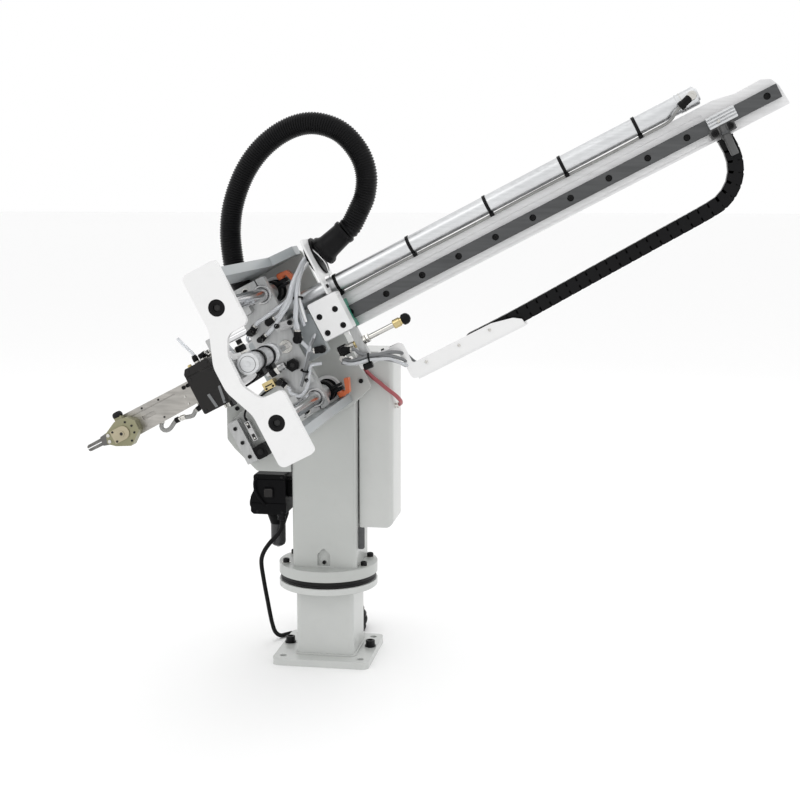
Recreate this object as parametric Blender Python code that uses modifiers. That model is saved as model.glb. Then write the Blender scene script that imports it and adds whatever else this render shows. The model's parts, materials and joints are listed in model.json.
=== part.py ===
# Swing-arm take-out robot for an injection-moulding machine: bolted base with a swivel flange, square column,
# tilting kick frame with two guide rods, carriage, telescoping arm on a linear rail, posture wrist and nipper jaws.
# Metres, +Z up, +X along the base's front edge, +Y in the direction the guide rods run away from the front plate.
# The origin is the bottom centre of the base plate.
import bpy, bmesh, math
from mathutils import Matrix, Vector

for o in list(bpy.data.objects):
    bpy.data.objects.remove(o, do_unlink=True)

MM = 0.001

ROBOT = bpy.data.collections.new("swing_arm_takeout_robot")
bpy.context.scene.collection.children.link(ROBOT)

# ---- driving dimensions (millimetres, degrees) ----
BASE_W, BASE_D, BASE_T = 154.0, 146.0, 11.5      # base plate
BOLT_X, BOLT_Y = 62.0, 57.0                      # corner holes of the base plate
SIDE_BOLT_X, SIDE_BOLT_Y = 66.0, 8.0             # the two bolts that hold it down
POST_W, POST_TOP = 92.0, 117.2                   # square post under the swivel flange
FLANGE_R = 78.4
LOW_FLANGE_T, RING_T, UP_FLANGE_T = 10.0, 10.0, 17.2
COL_X0, COL_X1, COL_D, COL_TOP = -47.0, 55.0, 50.0, 452.0
PIVOT_X, PIVOT_Z = -24.6, 514.1                  # swing axis, parallel to Y
TILT = 27.6                                      # arm above the horizontal at rest
FRONT_Y, FRONT_T = -380.0, 10.0                  # front plate
REAR_Y0, REAR_Y1 = -62.0, -54.0                  # rear plate
ROD_W, ROD_R = 84.3, 10.0                        # guide rods either side of the arm line
CARR_Y0, CARR_Y1 = -150.0, -138.0                # carriage plate
RAIL_Y0, RAIL_Y1 = -110.0, -96.3                 # linear rail
RAIL_W0, RAIL_W1 = -7.0, 13.0
BEAM_Y0, BEAM_Y1 = -96.0, -83.0                  # arm beam behind the rail
BEAM_W0, BEAM_W1 = -20.0, 33.0
ARM_LOW, ARM_HIGH = -125.0, 782.0                # arm ends along the arm line
CYL_W, CYL_Y, CYL_R = 50.0, -104.5, 14.0         # arm cylinder axis and radius
HOSE_R = 16.5                                    # corrugated hose

c, s = math.cos(math.radians(TILT)), math.sin(math.radians(TILT))
WORLD = Matrix.Identity(4)
# arm frame: first axis up the arm, second +Y, third square to the arm and upwards
ARM = Matrix(((c, 0, -s, PIVOT_X), (0, 1, 0, 0), (s, 0, c, PIVOT_Z), (0, 0, 0, 1)))
PIVOT = Vector((PIVOT_X, 0, PIVOT_Z))


def arm_pt(u, y, w):
    return ARM @ Vector((u, y, w))


# ---- materials ----
COLOURS = {
    "paint": ((0.60, 0.63, 0.60), 0.0, 0.42),
    "white": ((0.80, 0.80, 0.79), 0.0, 0.35),
    "greypaint": ((0.36, 0.40, 0.41), 0.0, 0.40),
    "steel": ((0.55, 0.55, 0.55), 1.0, 0.28),
    "darksteel": ((0.14, 0.15, 0.155), 0.9, 0.38),
    "chrome": ((0.75, 0.75, 0.76), 1.0, 0.12),
    "alu": ((0.72, 0.73, 0.74), 1.0, 0.35),
    "black": ((0.018, 0.018, 0.019), 0.0, 0.45),
    "rubber": ((0.015, 0.015, 0.016), 0.0, 0.75),
    "orange": ((0.72, 0.18, 0.06), 0.0, 0.40),
    "green": ((0.03, 0.25, 0.16), 0.0, 0.45),
    "brass": ((0.62, 0.52, 0.28), 1.0, 0.30),
    "olive": ((0.40, 0.38, 0.22), 0.7, 0.40),
    "boxblack": ((0.028, 0.025, 0.024), 0.2, 0.50),
    "bowl": ((0.03, 0.03, 0.033), 0.0, 0.20),
}


def material(obj, kind):
    col, metal, rough = COLOURS[kind]
    m = bpy.data.materials.new("mat_" + obj.name)
    m.use_nodes = True
    b = m.node_tree.nodes["Principled BSDF"]
    b.inputs["Base Color"].default_value = (*col, 1)
    b.inputs["Metallic"].default_value = metal
    b.inputs["Roughness"].default_value = rough
    obj.data.materials.clear()
    obj.data.materials.append(m)


def solid(name, bm, kind, frame=WORLD, origin=None):
    """A bmesh in frame millimetres becomes a named object in metres with its origin at origin (millimetres, world)."""
    org = Vector(origin) if origin is not None else Vector((0, 0, 0))
    bmesh.ops.transform(bm, matrix=frame, verts=bm.verts)
    bmesh.ops.translate(bm, vec=-org, verts=bm.verts)
    bmesh.ops.scale(bm, vec=(MM, MM, MM), verts=bm.verts)
    bmesh.ops.recalc_face_normals(bm, faces=bm.faces)
    me = bpy.data.meshes.new(name)
    bm.to_mesh(me)
    bm.free()
    me.polygons.foreach_set("use_smooth", [True] * len(me.polygons))
    me.set_sharp_from_angle(angle=math.radians(35))
    ob = bpy.data.objects.new(name, me)
    ROBOT.objects.link(ob)
    ob.location = org * MM
    material(ob, kind)
    return ob


def evaluated(ob, weld=1e-4):
    """The mesh that Blender makes of an object with its modifiers, welded, as a bmesh; the object is removed."""
    data = ob.data
    dg = bpy.context.evaluated_depsgraph_get()
    dg.update()
    me = bpy.data.meshes.new_from_object(ob.evaluated_get(dg))
    bm = bmesh.new()
    bm.from_mesh(me)
    bpy.data.meshes.remove(me)
    bpy.data.objects.remove(ob, do_unlink=True)
    (bpy.data.curves if isinstance(data, bpy.types.Curve) else bpy.data.meshes).remove(data)
    bmesh.ops.remove_doubles(bm, verts=bm.verts, dist=weld)
    bmesh.ops.dissolve_degenerate(bm, edges=bm.edges, dist=weld)
    bmesh.ops.recalc_face_normals(bm, faces=bm.faces)
    return bm


def new_curve(points, dims, cyclic):
    cu = bpy.data.curves.new("outline", "CURVE")
    cu.dimensions = dims
    cu.resolution_u = 1
    cu.render_resolution_u = 0
    sp = cu.splines.new("POLY")
    sp.points.add(len(points) - 1)
    for q, p in zip(sp.points, points):
        q.co = (*p, 1) if len(p) == 3 else (p[0], p[1], 0, 1)
    sp.use_cyclic_u = cyclic
    ob = bpy.data.objects.new("outline", cu)
    bpy.context.scene.collection.objects.link(ob)
    return ob, cu


def turned(bm, plane):
    """Takes a shape drawn in (a, b) with its thickness along the third axis into the named plane."""
    if plane != "xy":
        for v in bm.verts:
            a, b, t = v.co
            v.co = (a, t, b) if plane == "xz" else (t, a, b)
        bmesh.ops.recalc_face_normals(bm, faces=bm.faces)
    return bm


def prism_bm(pts, t0, t1, plane="xz"):
    """A filled flat outline in the named plane, extruded along the third axis from t0 to t1."""
    ob, cu = new_curve(pts, "2D", True)
    cu.fill_mode = "BOTH"
    cu.extrude = (t1 - t0) / 2
    bm = evaluated(ob)
    bmesh.ops.translate(bm, vec=(0, 0, (t0 + t1) / 2), verts=bm.verts)
    return turned(bm, plane)


def box_bm(x0, x1, y0, y1, z0, z1):
    bm = bmesh.new()
    bmesh.ops.create_cube(bm, size=1.0)
    bmesh.ops.scale(bm, vec=(x1 - x0, y1 - y0, z1 - z0), verts=bm.verts)
    bmesh.ops.translate(bm, vec=((x0 + x1) / 2, (y0 + y1) / 2, (z0 + z1) / 2), verts=bm.verts)
    return bm


def fillet(pts, radii, n=4):
    """Rounds the corners of an outline; radii is one number or one per corner."""
    out = []
    m = len(pts)
    for i, p in enumerate(pts):
        r = radii if not hasattr(radii, "__len__") else radii[i]
        p = Vector(p)
        if r <= 0:
            out.append(tuple(p))
            continue
        a = (Vector(pts[i - 1]) - p)
        b = (Vector(pts[(i + 1) % m]) - p)
        la, lb = a.length, b.length
        a.normalize()
        b.normalize()
        half = math.acos(max(-1, min(1, a.dot(b)))) / 2
        d = min(r / math.tan(half), la * 0.48, lb * 0.48)
        r = d * math.tan(half)
        centre = p + (a + b).normalized() * (r / math.sin(half))
        s0 = p + a * d - centre
        s1 = p + b * d - centre
        a0 = math.atan2(s0.y, s0.x)
        a1 = math.atan2(s1.y, s1.x)
        da = (a1 - a0 + math.pi) % (2 * math.pi) - math.pi
        for k in range(n + 1):
            t = a0 + da * k / n
            out.append((centre.x + r * math.cos(t), centre.y + r * math.sin(t)))
    return out


AXIS_TURN = {"z": Matrix.Identity(4), "x": Matrix.Rotation(math.pi / 2, 4, "Y"), "y": Matrix.Rotation(-math.pi / 2, 4, "X")}


def lathe_bm(prof, n=20, axis="z", centre=(0, 0, 0)):
    """Turns a profile of (radius, along) points about an axis with the Screw modifier; points of zero radius close the ends."""
    me = bpy.data.meshes.new("profile")
    loop = prof[0][0] > 0
    m = len(prof)
    me.from_pydata([(r, 0, t) for r, t in prof], [(k, (k + 1) % m) for k in range(m if loop else m - 1)], [])
    ob = bpy.data.objects.new("profile", me)
    bpy.context.scene.collection.objects.link(ob)
    sc = ob.modifiers.new("turn", "SCREW")
    sc.axis = "Z"
    sc.angle = 2 * math.pi
    sc.steps = sc.render_steps = n
    sc.use_merge_vertices = True
    sc.merge_threshold = 0.0001
    bm = evaluated(ob)
    bmesh.ops.transform(bm, matrix=Matrix.Translation(Vector(centre)) @ AXIS_TURN[axis], verts=bm.verts)
    return bm


def rod_bm(t0, t1, r, n=20, axis="z", centre=(0, 0, 0), ch=0.0):
    if ch:
        return lathe_bm([(0, t0), (r - ch, t0), (r, t0 + ch), (r, t1 - ch), (r - ch, t1), (0, t1)], n, axis, centre)
    bm = bmesh.new()
    bmesh.ops.create_cone(bm, cap_ends=True, segments=n, radius1=r, radius2=r, depth=t1 - t0)
    bmesh.ops.transform(bm, matrix=Matrix.Translation(Vector(centre)) @ AXIS_TURN[axis] @ Matrix.Translation((0, 0, (t0 + t1) / 2)), verts=bm.verts)
    return bm


def ring_bm(t0, t1, ri, ro, n=20, axis="z", centre=(0, 0, 0)):
    return lathe_bm([(ri, t0), (ro, t0), (ro, t1), (ri, t1)], n, axis, centre)


def smooth_path(pts, per=4):
    """Catmull-Rom curve through the points, with per steps between neighbours."""
    P = [Vector(p) for p in pts]
    P = [2 * P[0] - P[1]] + P + [2 * P[-1] - P[-2]]
    out = []
    for i in range(1, len(P) - 2):
        for k in range(per):
            t = k / per
            a, b, d, e = P[i - 1], P[i], P[i + 1], P[i + 2]
            out.append(0.5 * (2 * b + (d - a) * t + (2 * a - 5 * b + 4 * d - e) * t * t + (3 * b - a - 3 * d + e) * t ** 3))
    out.append(P[-2])
    return out


def tube_bm(path, r, sides=12):
    """A round tube along a path, with filled caps."""
    ob, cu = new_curve([tuple(p) for p in path], "3D", False)
    cu.bevel_depth = r
    cu.bevel_resolution = sides // 2 - 2
    cu.use_fill_caps = True
    return evaluated(ob)


def belt_bm(path, thick, wide):
    """A rectangular belt along a path that lies square to Y, with filled caps; wide is its size along Y."""
    flat = [(p.x, p.z, 0) for p in path]
    ob, cu = new_curve(flat, "3D", False)
    sec, scu = new_curve([(-thick / 2, -wide / 2), (thick / 2, -wide / 2), (thick / 2, wide / 2), (-thick / 2, wide / 2)], "2D", True)
    cu.twist_mode = "Z_UP"
    cu.bevel_mode = "OBJECT"
    cu.bevel_object = sec
    cu.use_fill_caps = True
    bm = evaluated(ob)
    bpy.data.objects.remove(sec, do_unlink=True)
    bpy.data.curves.remove(scu)
    for v in bm.verts:
        a, b, t = v.co
        v.co = (a, path[0].y + t, b)
    bmesh.ops.recalc_face_normals(bm, faces=bm.faces)
    return bm


def boolean(ob, op, bm, frame=WORLD):
    """Joins a tool shape to an object or cuts it out of the object."""
    tool = solid("tool_shape", bm, "paint", frame)
    m = ob.modifiers.new("bool", "BOOLEAN")
    m.operation = op
    m.solver = "EXACT"
    m.object = tool
    dg = bpy.context.evaluated_depsgraph_get()
    dg.update()
    me = bpy.data.meshes.new_from_object(ob.evaluated_get(dg))
    ob.modifiers.clear()
    old = ob.data
    ob.data = me
    bpy.data.meshes.remove(old)
    kind_mat = [mm for mm in me.materials if mm and mm.name == "mat_" + ob.name]
    me.materials.clear()
    if kind_mat:
        me.materials.append(kind_mat[0])
    for p in me.polygons:
        p.material_index = 0
    tm = tool.data
    bpy.data.objects.remove(tool, do_unlink=True)
    bpy.data.meshes.remove(tm)
    return ob


def cut(ob, bm, frame=WORLD):
    return boolean(ob, "DIFFERENCE", bm, frame)


def join(ob, bm, frame=WORLD):
    return boolean(ob, "UNION", bm, frame)


# ======================= base =======================
z_low = POST_TOP + LOW_FLANGE_T
base = solid("base_casting", prism_bm(fillet([(-BASE_W / 2, -BASE_D / 2), (BASE_W / 2, -BASE_D / 2), (BASE_W / 2, BASE_D / 2), (-BASE_W / 2, BASE_D / 2)], 10, 3), 0, BASE_T, "xy"), "paint")
join(base, prism_bm(fillet([(-POST_W / 2 + 3, -POST_W / 2), (POST_W / 2 + 3, -POST_W / 2), (POST_W / 2 + 3, POST_W / 2), (-POST_W / 2 + 3, POST_W / 2)], 7, 3), BASE_T - 2, POST_TOP + 2, "xy"))
join(base, rod_bm(POST_TOP, z_low, FLANGE_R, 40))
for bx, by in ((-BOLT_X, -BOLT_Y), (BOLT_X, -BOLT_Y), (BOLT_X, BOLT_Y), (-BOLT_X, BOLT_Y), (-SIDE_BOLT_X, SIDE_BOLT_Y), (SIDE_BOLT_X, SIDE_BOLT_Y)):
    cut(base, rod_bm(-1, BASE_T + 1, 5.6, 12, centre=(bx, by, 0)))
for side, bx in (("left", -SIDE_BOLT_X), ("right", SIDE_BOLT_X)):
    solid("base_bolt_" + side, lathe_bm([(0, 0.5), (5, 0.5), (5, BASE_T + 0.4), (9, BASE_T + 0.4), (9, BASE_T + 2.2), (7.4, BASE_T + 2.4), (7.4, BASE_T + 10), (6.8, BASE_T + 10.6), (4, BASE_T + 10.6), (4, BASE_T + 7), (0, BASE_T + 7)], 12, centre=(bx, SIDE_BOLT_Y, 0)), "black")
z_ring0 = z_low + 0.4
solid("swivel_ring", ring_bm(z_ring0, z_ring0 + RING_T, 34, FLANGE_R - 2.2, 32), "rubber")

# ======================= column =======================
z_up = z_ring0 + RING_T + 0.4
col = solid("column", rod_bm(z_up, z_up + UP_FLANGE_T, FLANGE_R, 40), "paint")
join(col, prism_bm(fillet([(COL_X0, -COL_D), (COL_X1, -COL_D), (COL_X1, COL_D), (COL_X0, COL_D)], 6, 2), z_up + 5, COL_TOP, "xy"))
cut(col, prism_bm([(COL_X0 + 7, -COL_D + 7), (COL_X1 - 7, -COL_D + 7), (COL_X1 - 7, COL_D - 7), (COL_X0 + 7, COL_D - 7)], z_up + UP_FLANGE_T + 14, COL_TOP + 5, "xy"))
cut(col, prism_bm(fillet([(-7, z_up + UP_FLANGE_T + 3), (13, z_up + UP_FLANGE_T + 3), (13, 176), (3, 187), (-7, 176)], [0, 0, 5, 3, 5], 3), -COL_D - 3, -COL_D + 5, "xz"))

# bearing housing for the swing shaft
hous = [(PIVOT_X - 50, COL_TOP + 0.4), (COL_X1, COL_TOP + 0.4), (COL_X1, PIVOT_Z - 30)] + [(PIVOT_X + 50 * math.cos(math.radians(a)), PIVOT_Z + 50 * math.sin(math.radians(a))) for a in range(0, 181, 15)]
h = solid("swing_housing", prism_bm(hous, -49, 49), "paint")
cut(h, rod_bm(-60, 60, 25, 24, "y", (PIVOT_X, 0, PIVOT_Z)))

# plate at the left of the column that carries the swing stop
br = solid("swing_bracket", prism_bm(fillet([(-149, 420), (-149, 355), (-137, 340), (-102, 306), (-48, 306), (-48, 420)], [8, 8, 8, 8, 0, 0], 3), -50, -42), "paint")
join(br, prism_bm(fillet([(-57, -45), (-47.5, -45), (-47.5, 30), (-57, 30)], 0), 306, 420, "xy"))

# valve box cover on the right of the column
cov = solid("valve_cover", prism_bm(fillet([(57, -35), (110.5, -35), (110.5, 48), (57, 48)], [2, 8, 8, 2], 3), 219, 495, "xy"), "white")
cut(cov, prism_bm([(50, -32), (107.5, -32), (107.5, 45), (50, 45)], 222, 492, "xy"))

# filter-regulator on the left of the column
fb = solid("filter_body", prism_bm(fillet([(-109.5, 300), (-109.5, 274), (-114.5, 264), (-114.5, 240), (-110, 236), (-58, 236), (-58, 300)], [4, 6, 6, 2, 2, 3, 4], 2), -46, 8, "xz"), "black")
join(fb, box_bm(-60, -47.4, -30, -5, 262, 290))
solid("filter_bowl", lathe_bm([(0, 175), (7, 176), (11, 180), (12, 186), (12, 214), (16.5, 226), (16.5, 235.6), (0, 235.6)], 16, centre=(-80.4, -6, 0)), "bowl")

# control cable: out of the gland under the filter body, past the front of the bowl, down the left of the column and
# into a coil behind the base
CABLE_R = 3.5
GLAND_X, GLAND_Y = -67.0, -36.0
solid("cable_gland", lathe_bm([(0, 235.6), (7, 235.6), (7, 231), (6, 230), (6, 226), (0, 226)], 14, centre=(GLAND_X, GLAND_Y, 0)), "black")
COIL_X, COIL_Y, COIL_R, COIL_TURN_W = -8.0, 128.0, 35.5, 10.9
CABLE = smooth_path([(GLAND_X, GLAND_Y, 225.6), (GLAND_X, -36, 215), (-71.5, -36, 205), (-79.5, -36, 196), (-89, -34, 185), (-98, -30, 172), (-104, -24, 158), (-106.2, -16, 143), (-106.4, -7, 124.7), (-106.2, 4, 101.6), (-105.8, 16, 77.9), (-105.2, 27, 54.3), (-104, 36.5, 33), (-101.2, 45, 15.5), (-95.5, 56, 5.6), (-88.5, 67, 4.1), (-79.5, 77, 4.1), (-67.5, 83.6, 4.1), (-51, 85.5, 4.1), (-33.4, 85.5, 4.1)], 2)
solid("control_cable", tube_bm(CABLE, CABLE_R, 8), "rubber")
solid("cable_coil", ring_bm(0.6, 29.0, COIL_R - COIL_TURN_W, COIL_R + COIL_TURN_W, 24, centre=(COIL_X, COIL_Y, 0)), "rubber")
solid("cable_plug", lathe_bm([(0, -50), (5.5, -50), (7, -48.5), (7, -30), (6, -29), (6, -22), (4.6, -14), (0, -14)], 14, "x", (0, COIL_Y + COIL_R, 36.6)), "black")

# ======================= swinging head frame =======================
piv = (PIVOT_X, 0, PIVOT_Z)
solid("swing_shaft", lathe_bm([(0, REAR_Y1 + 0.4), (24.4, REAR_Y1 + 0.4), (24.4, 50), (36, 50), (36, 57), (15, 57), (15, 64), (0, 64)], 24, "y", piv), "steel", origin=piv)
rear = [(-62, 124), (62, 124), (62, -112), (20, -124), (-62, -124), (-90, -135), (-167, -135), (-167, -62), (-120, -50), (-62, -30)]
solid("rear_plate", prism_bm(fillet(rear, [8, 8, 8, 8, 0, 8, 8, 8, 0, 8], 2), REAR_Y0, REAR_Y1), "paint", ARM, piv)
solid("top_plate", prism_bm([(-22, FRONT_Y + FRONT_T + 0.4), (27, FRONT_Y + FRONT_T + 0.4), (27, -120), (60, -95), (60, REAR_Y0 - 0.4), (-22, REAR_Y0 - 0.4)], 116, 130, "xy"), "greypaint", ARM, piv)
solid("bottom_plate", box_bm(-22, 27, FRONT_Y + FRONT_T + 0.4, REAR_Y0 - 0.4, -118, -105), "greypaint", ARM, piv)

lobe = [(-24, 141), (28, 141), (28, 48), (-4, 47), (-17, 22), (-18, -22), (-4, -47), (28, -48), (28, -141), (-24, -141), (-24, -62), (-41.5, -18), (-41.5, 18), (-24, 62)]
fp = solid("front_plate", prism_bm(fillet(lobe, [8, 6, 8, 14, 24, 24, 14, 8, 7, 9, 30, 40, 40, 30], 4), FRONT_Y, FRONT_Y + FRONT_T), "white", ARM, piv)
for k, w in (("upper", ROD_W), ("lower", -ROD_W)):
    cut(fp, rod_bm(FRONT_Y - 2, FRONT_Y + FRONT_T + 2, 11.4, 20, "y", (0, 0, w)), ARM)
    solid("rod_cap_" + k, lathe_bm([(0, FRONT_Y + 3.5), (5, FRONT_Y + 3.5), (5, FRONT_Y + 0.8), (10.2, FRONT_Y + 0.8), (11, FRONT_Y + 1.6), (11, FRONT_Y + 9.4), (0, FRONT_Y + 9.4)], 16, "y", (0, 0, w)), "black", ARM, piv)
    solid("guide_rod_" + k, rod_bm(FRONT_Y + FRONT_T + 0.2, REAR_Y0 - 0.4, ROD_R, 20, "y", (0, 0, w), 0.8), "chrome", ARM, piv)
    # stop collar with a lug for its clamp lever
    sgn = 1 if w > 0 else -1
    cl = solid("stop_collar_" + k, ring_bm(-96, -84, 10.4, 16.5, 18, "y", (0, 0, w)), "black", ARM, piv)
    join(cl, box_bm(11.5, 29.5, -96, -84, w - 5.5 + sgn * 4, w + 5.5 + sgn * 4), ARM)

solid("stop_channel", prism_bm([(-163, -82), (-145, -82), (-145, -77), (-158, -77), (-158, -67), (-145, -67), (-145, -62.4), (-163, -62.4)], -132, -62, "xy"), "greypaint", ARM, piv)
solid("swing_bumper", prism_bm(fillet([(-143, -133), (-124, -133), (-124, -112), (-143, -112)], 4, 2), -86, -62.4), "rubber", ARM, piv)

# kick cylinder between the front plate and the carriage
KICK_U, KICK_W = -4.0, 1.5
kb = solid("kick_bracket", prism_bm(fillet([(-39, -17), (-19.8, -17), (-19.8, 20), (-39, 20)], 3, 2), FRONT_Y + FRONT_T + 0.4, -360), "alu", ARM, piv)
join(kb, box_bm(-30, -19.8, -362, -334, -12, 15), ARM)
solid("kick_cylinder", lathe_bm([(0, -359.6), (15, -359.6), (15, -340), (13, -339), (13, -250), (15, -249), (15, -232), (6.2, -232), (6.2, -353), (0, -353)], 20, "y", (KICK_U, 0, KICK_W)), "steel", ARM, piv)

# clamp levers on the collars
for k, w, sgn in (("upper", ROD_W, 1), ("lower", -ROD_W, -1)):
    u0, wl = 23.0, w + sgn * 4
    lv = solid("clamp_lever_" + k, lathe_bm([(0, wl + sgn * 6.0), (5.6, wl + sgn * 6.0), (6.4, wl + sgn * 8.0), (6.4, wl + sgn * 13.5), (5.0, wl + sgn * 15.5), (0, wl + sgn * 15.5)], 12, "z", (u0, -90, 0)), "orange", ARM, tuple(arm_pt(u0, -90, wl)))
    join(lv, prism_bm(fillet([(u0 - 4, wl + sgn * 8.5), (u0 + 9, wl + sgn * 8.5), (u0 + 15, wl - sgn * 9), (u0 + 22, wl - sgn * 6), (u0 + 13, wl + sgn * 14.5), (u0 - 4, wl + sgn * 14.5)], 2, 1), -95, -85), ARM)

# ======================= carriage =======================
cpl = solid("carriage_plate", prism_bm(fillet([(-62, -103), (14.5, -103), (14.5, 108), (-62, 108), (-62, 70), (-46, 60), (-46, -60), (-62, -68)], [6, 4, 4, 6, 3, 3, 3, 3], 2), CARR_Y0, CARR_Y1), "alu", ARM)
for k, w in (("upper", ROD_W), ("lower", -ROD_W)):
    cut(cpl, rod_bm(CARR_Y0 - 3, CARR_Y1 + 3, ROD_R + 0.6, 20, "y", (0, 0, w)), ARM)
    solid("slide_bush_" + k, ring_bm(CARR_Y1 + 0.4, CARR_Y1 + 30, ROD_R + 0.4, 14.2, 20, "y", (0, 0, w)), "alu", ARM)
solid("kick_rod", rod_bm(-262, CARR_Y0 - 0.4, 5, 14, "y", (KICK_U, 0, KICK_W), 0.6), "chrome", ARM)
solid("guide_housing", prism_bm(fillet([(-58, -34), (48, -34), (48, 30), (-58, 30)], 4, 2), CARR_Y1 + 0.4, -124.6), "greypaint", ARM)
block = [(-124.2, -19), (-99, -19), (-99, -7.7), (-110.7, -7.7), (-110.7, 13.7), (-99, 13.7), (-99, 25), (-124.2, 25)]
solid("guide_block", prism_bm(block, 57, 95, "yz"), "steel", ARM)
solid("block_seal", prism_bm(block, 95.4, 98.4, "yz"), "green", ARM)
wm = solid("block_mount", prism_bm(fillet([(52, -19), (99, -19), (99, 40), (52, 40)], 3, 2), CARR_Y0, -124.6), "white", ARM)
join(wm, box_bm(48.4, 54, -134, -124.6, -15, 30), ARM)
for i, (su, sw) in enumerate(((61, -9), (87, -9), (61, 17), (87, 17))):
    cut(wm, rod_bm(CARR_Y0 - 2, CARR_Y0 + 5, 4.6, 12, "y", (su, 0, sw)), ARM)
solid("cylinder_tube", lathe_bm([(0, 674), (CYL_R, 674), (CYL_R, -40), (7, -40), (7, 640), (0, 640)], 20, "x", (0, CYL_Y, CYL_W)), "alu", ARM)
tray = [(74, -68), (141, -68), (147, -73), (147, -104.5), (276, -104.5), (308, -111.5), (319, -119), (320, -127), (136, -127), (136, -79.5), (74, -79.5)]
tr = solid("cable_tray", prism_bm(fillet(tray, [2, 6, 6, 4, 8, 8, 2, 1, 8, 4, 2], 2), -121, -118), "white", ARM)
join(tr, box_bm(145, 320, -120, -86, -130, -126), ARM)
join(tr, box_bm(74, 128, -138, -119, -70.5, -68), ARM)
gl = solid("hose_plate", prism_bm([(-150, 40.5), (-124, 40.5), (-124, 67), (-62, 67), (-62, 128), (-150, 128)], 86, 89, "yz"), "white", ARM)
gd = Vector((1, 0, 0.26)).normalized()
boot = [(0, 0.4), (22, 0.4), (22, 10), (18.5, 13), (16.5, 44), (17.5, 46), (17.5, 50), (0, 50)]
gm = ARM @ Matrix.Translation(Vector((89.6, -96, 99))) @ Matrix.Rotation(-math.radians(14.5), 4, "Y")
# the boot's rear edge is kept clear of the plate it stands on
solid("hose_boot", lathe_bm([(r, t + 6) for r, t in boot], 18, "x"), "rubber", gm)
STOP_Y, STOP_W = -131.2, -42.0
sb = solid("stop_block", prism_bm(fillet([(88, -67.6), (99.5, -67.6), (99.5, -19.4), (88, -19.4)], 1.5, 1), -138, -124.6), "greypaint", ARM)
cut(sb, rod_bm(80, 110, 4.5, 12, "x", (0, STOP_Y, STOP_W)), ARM)
solid("stop_rod", lathe_bm([(0, 73.5), (6, 73.5), (6, 84), (4, 84.4), (4, 150), (5.8, 150.4), (5.8, 160), (3, 160.4), (3, 164), (6.5, 164.4), (8, 166), (8, 170), (6.4, 174), (3, 176), (0, 176.4)], 12, "x", (0, STOP_Y, STOP_W)), "steel", ARM)
kn = arm_pt(66, STOP_Y, STOP_W)
solid("stop_knob", rod_bm(58, 73.1, 8, 14, "x", (0, STOP_Y, STOP_W), 1.0), "black", ARM, tuple(kn))
hk = arm_pt(-5, -150, -27)
solid("hex_knob", lathe_bm([(0, CARR_Y0 - 0.4), (6, CARR_Y0 - 0.4), (6, -154), (10, -154.4), (10, -163), (8.5, -165), (0, -165)], 6, "y", (-5, 0, -27)), "black", ARM, tuple(hk))

# corrugated hose from the carriage round to the rear plate
he = gm @ Vector((58.5, 0, 0))
he2 = gm @ Vector((67, 0, 0))
inv = ARM.inverted()
a0, a1 = inv @ he, inv @ he2
loop = [a0, a1] + [Vector(p) for p in ((174, -96, 129.5), (193, -95, 145.5), (209, -93, 172.5), (213, -90, 207), (201, -86, 246), (171, -82, 275), (132, -78, 286), (86, -75, 281), (43, -73, 261.5), (5.5, -72, 229.5), (-18.5, -73.5, 195), (-32.5, -77.5, 160), (-39.6, -80, 133), (-40, -80, 110))]
solid("corrugated_hose", tube_bm(smooth_path(loop, 3), HOSE_R, 12), "rubber", ARM)
hs = solid("hose_socket", ring_bm(84, 107.4, 8, 17, 16, "z", (-40, -80, 0)), "black", ARM, piv)

# ======================= arm =======================
beam = [(ARM_LOW, BEAM_W0), (ARM_HIGH, BEAM_W0), (ARM_HIGH - 3, 10), (ARM_HIGH - 9, 22), (ARM_HIGH - 22, 28), (722, 27), (690, BEAM_W1), (ARM_LOW, BEAM_W1)]
solid("arm_beam", prism_bm(fillet(beam, [0, 2, 6, 6, 6, 4, 4, 0], 2), BEAM_Y0, BEAM_Y1), "alu", ARM)
solid("linear_rail", prism_bm([(RAIL_Y0, RAIL_W0), (RAIL_Y0, RAIL_W1), (-105, RAIL_W1), (-103, RAIL_W1 - 2), (-100, RAIL_W1 - 2), (-98, RAIL_W1), (RAIL_Y1, RAIL_W1), (RAIL_Y1, RAIL_W0), (-98, RAIL_W0), (-100, RAIL_W0 + 2), (-103, RAIL_W0 + 2), (-105, RAIL_W0)], ARM_LOW + 3, 775, "yz"), "darksteel", ARM)
cp = solid("chain_clip", prism_bm([(669, -3), (711, -3), (711, 14), (669, 14)], -120, RAIL_Y0 - 0.4), "alu", ARM)
join(cp, box_bm(680, 704, -120, -113, -24, 0), ARM)
solid("arm_box", prism_bm(fillet([(-171, -33), (-125.4, -33), (-125.4, 41), (-166, 41), (-171, 34)], [3, 3, 3, 3, 2], 2), -128, -84), "boxblack", ARM)
lug = solid("rod_lug", prism_bm(fillet([(-118, 33.4), (-106, 33.4), (-106, 58), (-118, 58)], [0, 0, 4, 4], 2), -114, -84), "steel", ARM)
solid("piston_rod", rod_bm(-105.6, 560, 5, 14, "x", (0, CYL_Y, CYL_W), 0.6), "chrome", ARM)
solid("gripper_bar", prism_bm(fillet([(-171.4, -12), (-171.4, 24), (-297, 24), (-300, -15)], 2, 1), -110, -94), "steel", ARM)

# ======================= chain between the tray and the arm =======================
chain = [Vector(p) for p in ((683, -100, -23.5), (684, -100, -34), (682.8, -100, -48), (679, -100, -64), (668, -100, -81.5), (651, -100, -94.5), (627, -100, -101), (534, -100, -105), (430, -100, -109), (336, -100, -112.8), (290, -100, -114), (236, -100, -114.2))]
solid("drag_chain", belt_bm(smooth_path(chain, 3), 22, 24), "rubber", ARM)

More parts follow.
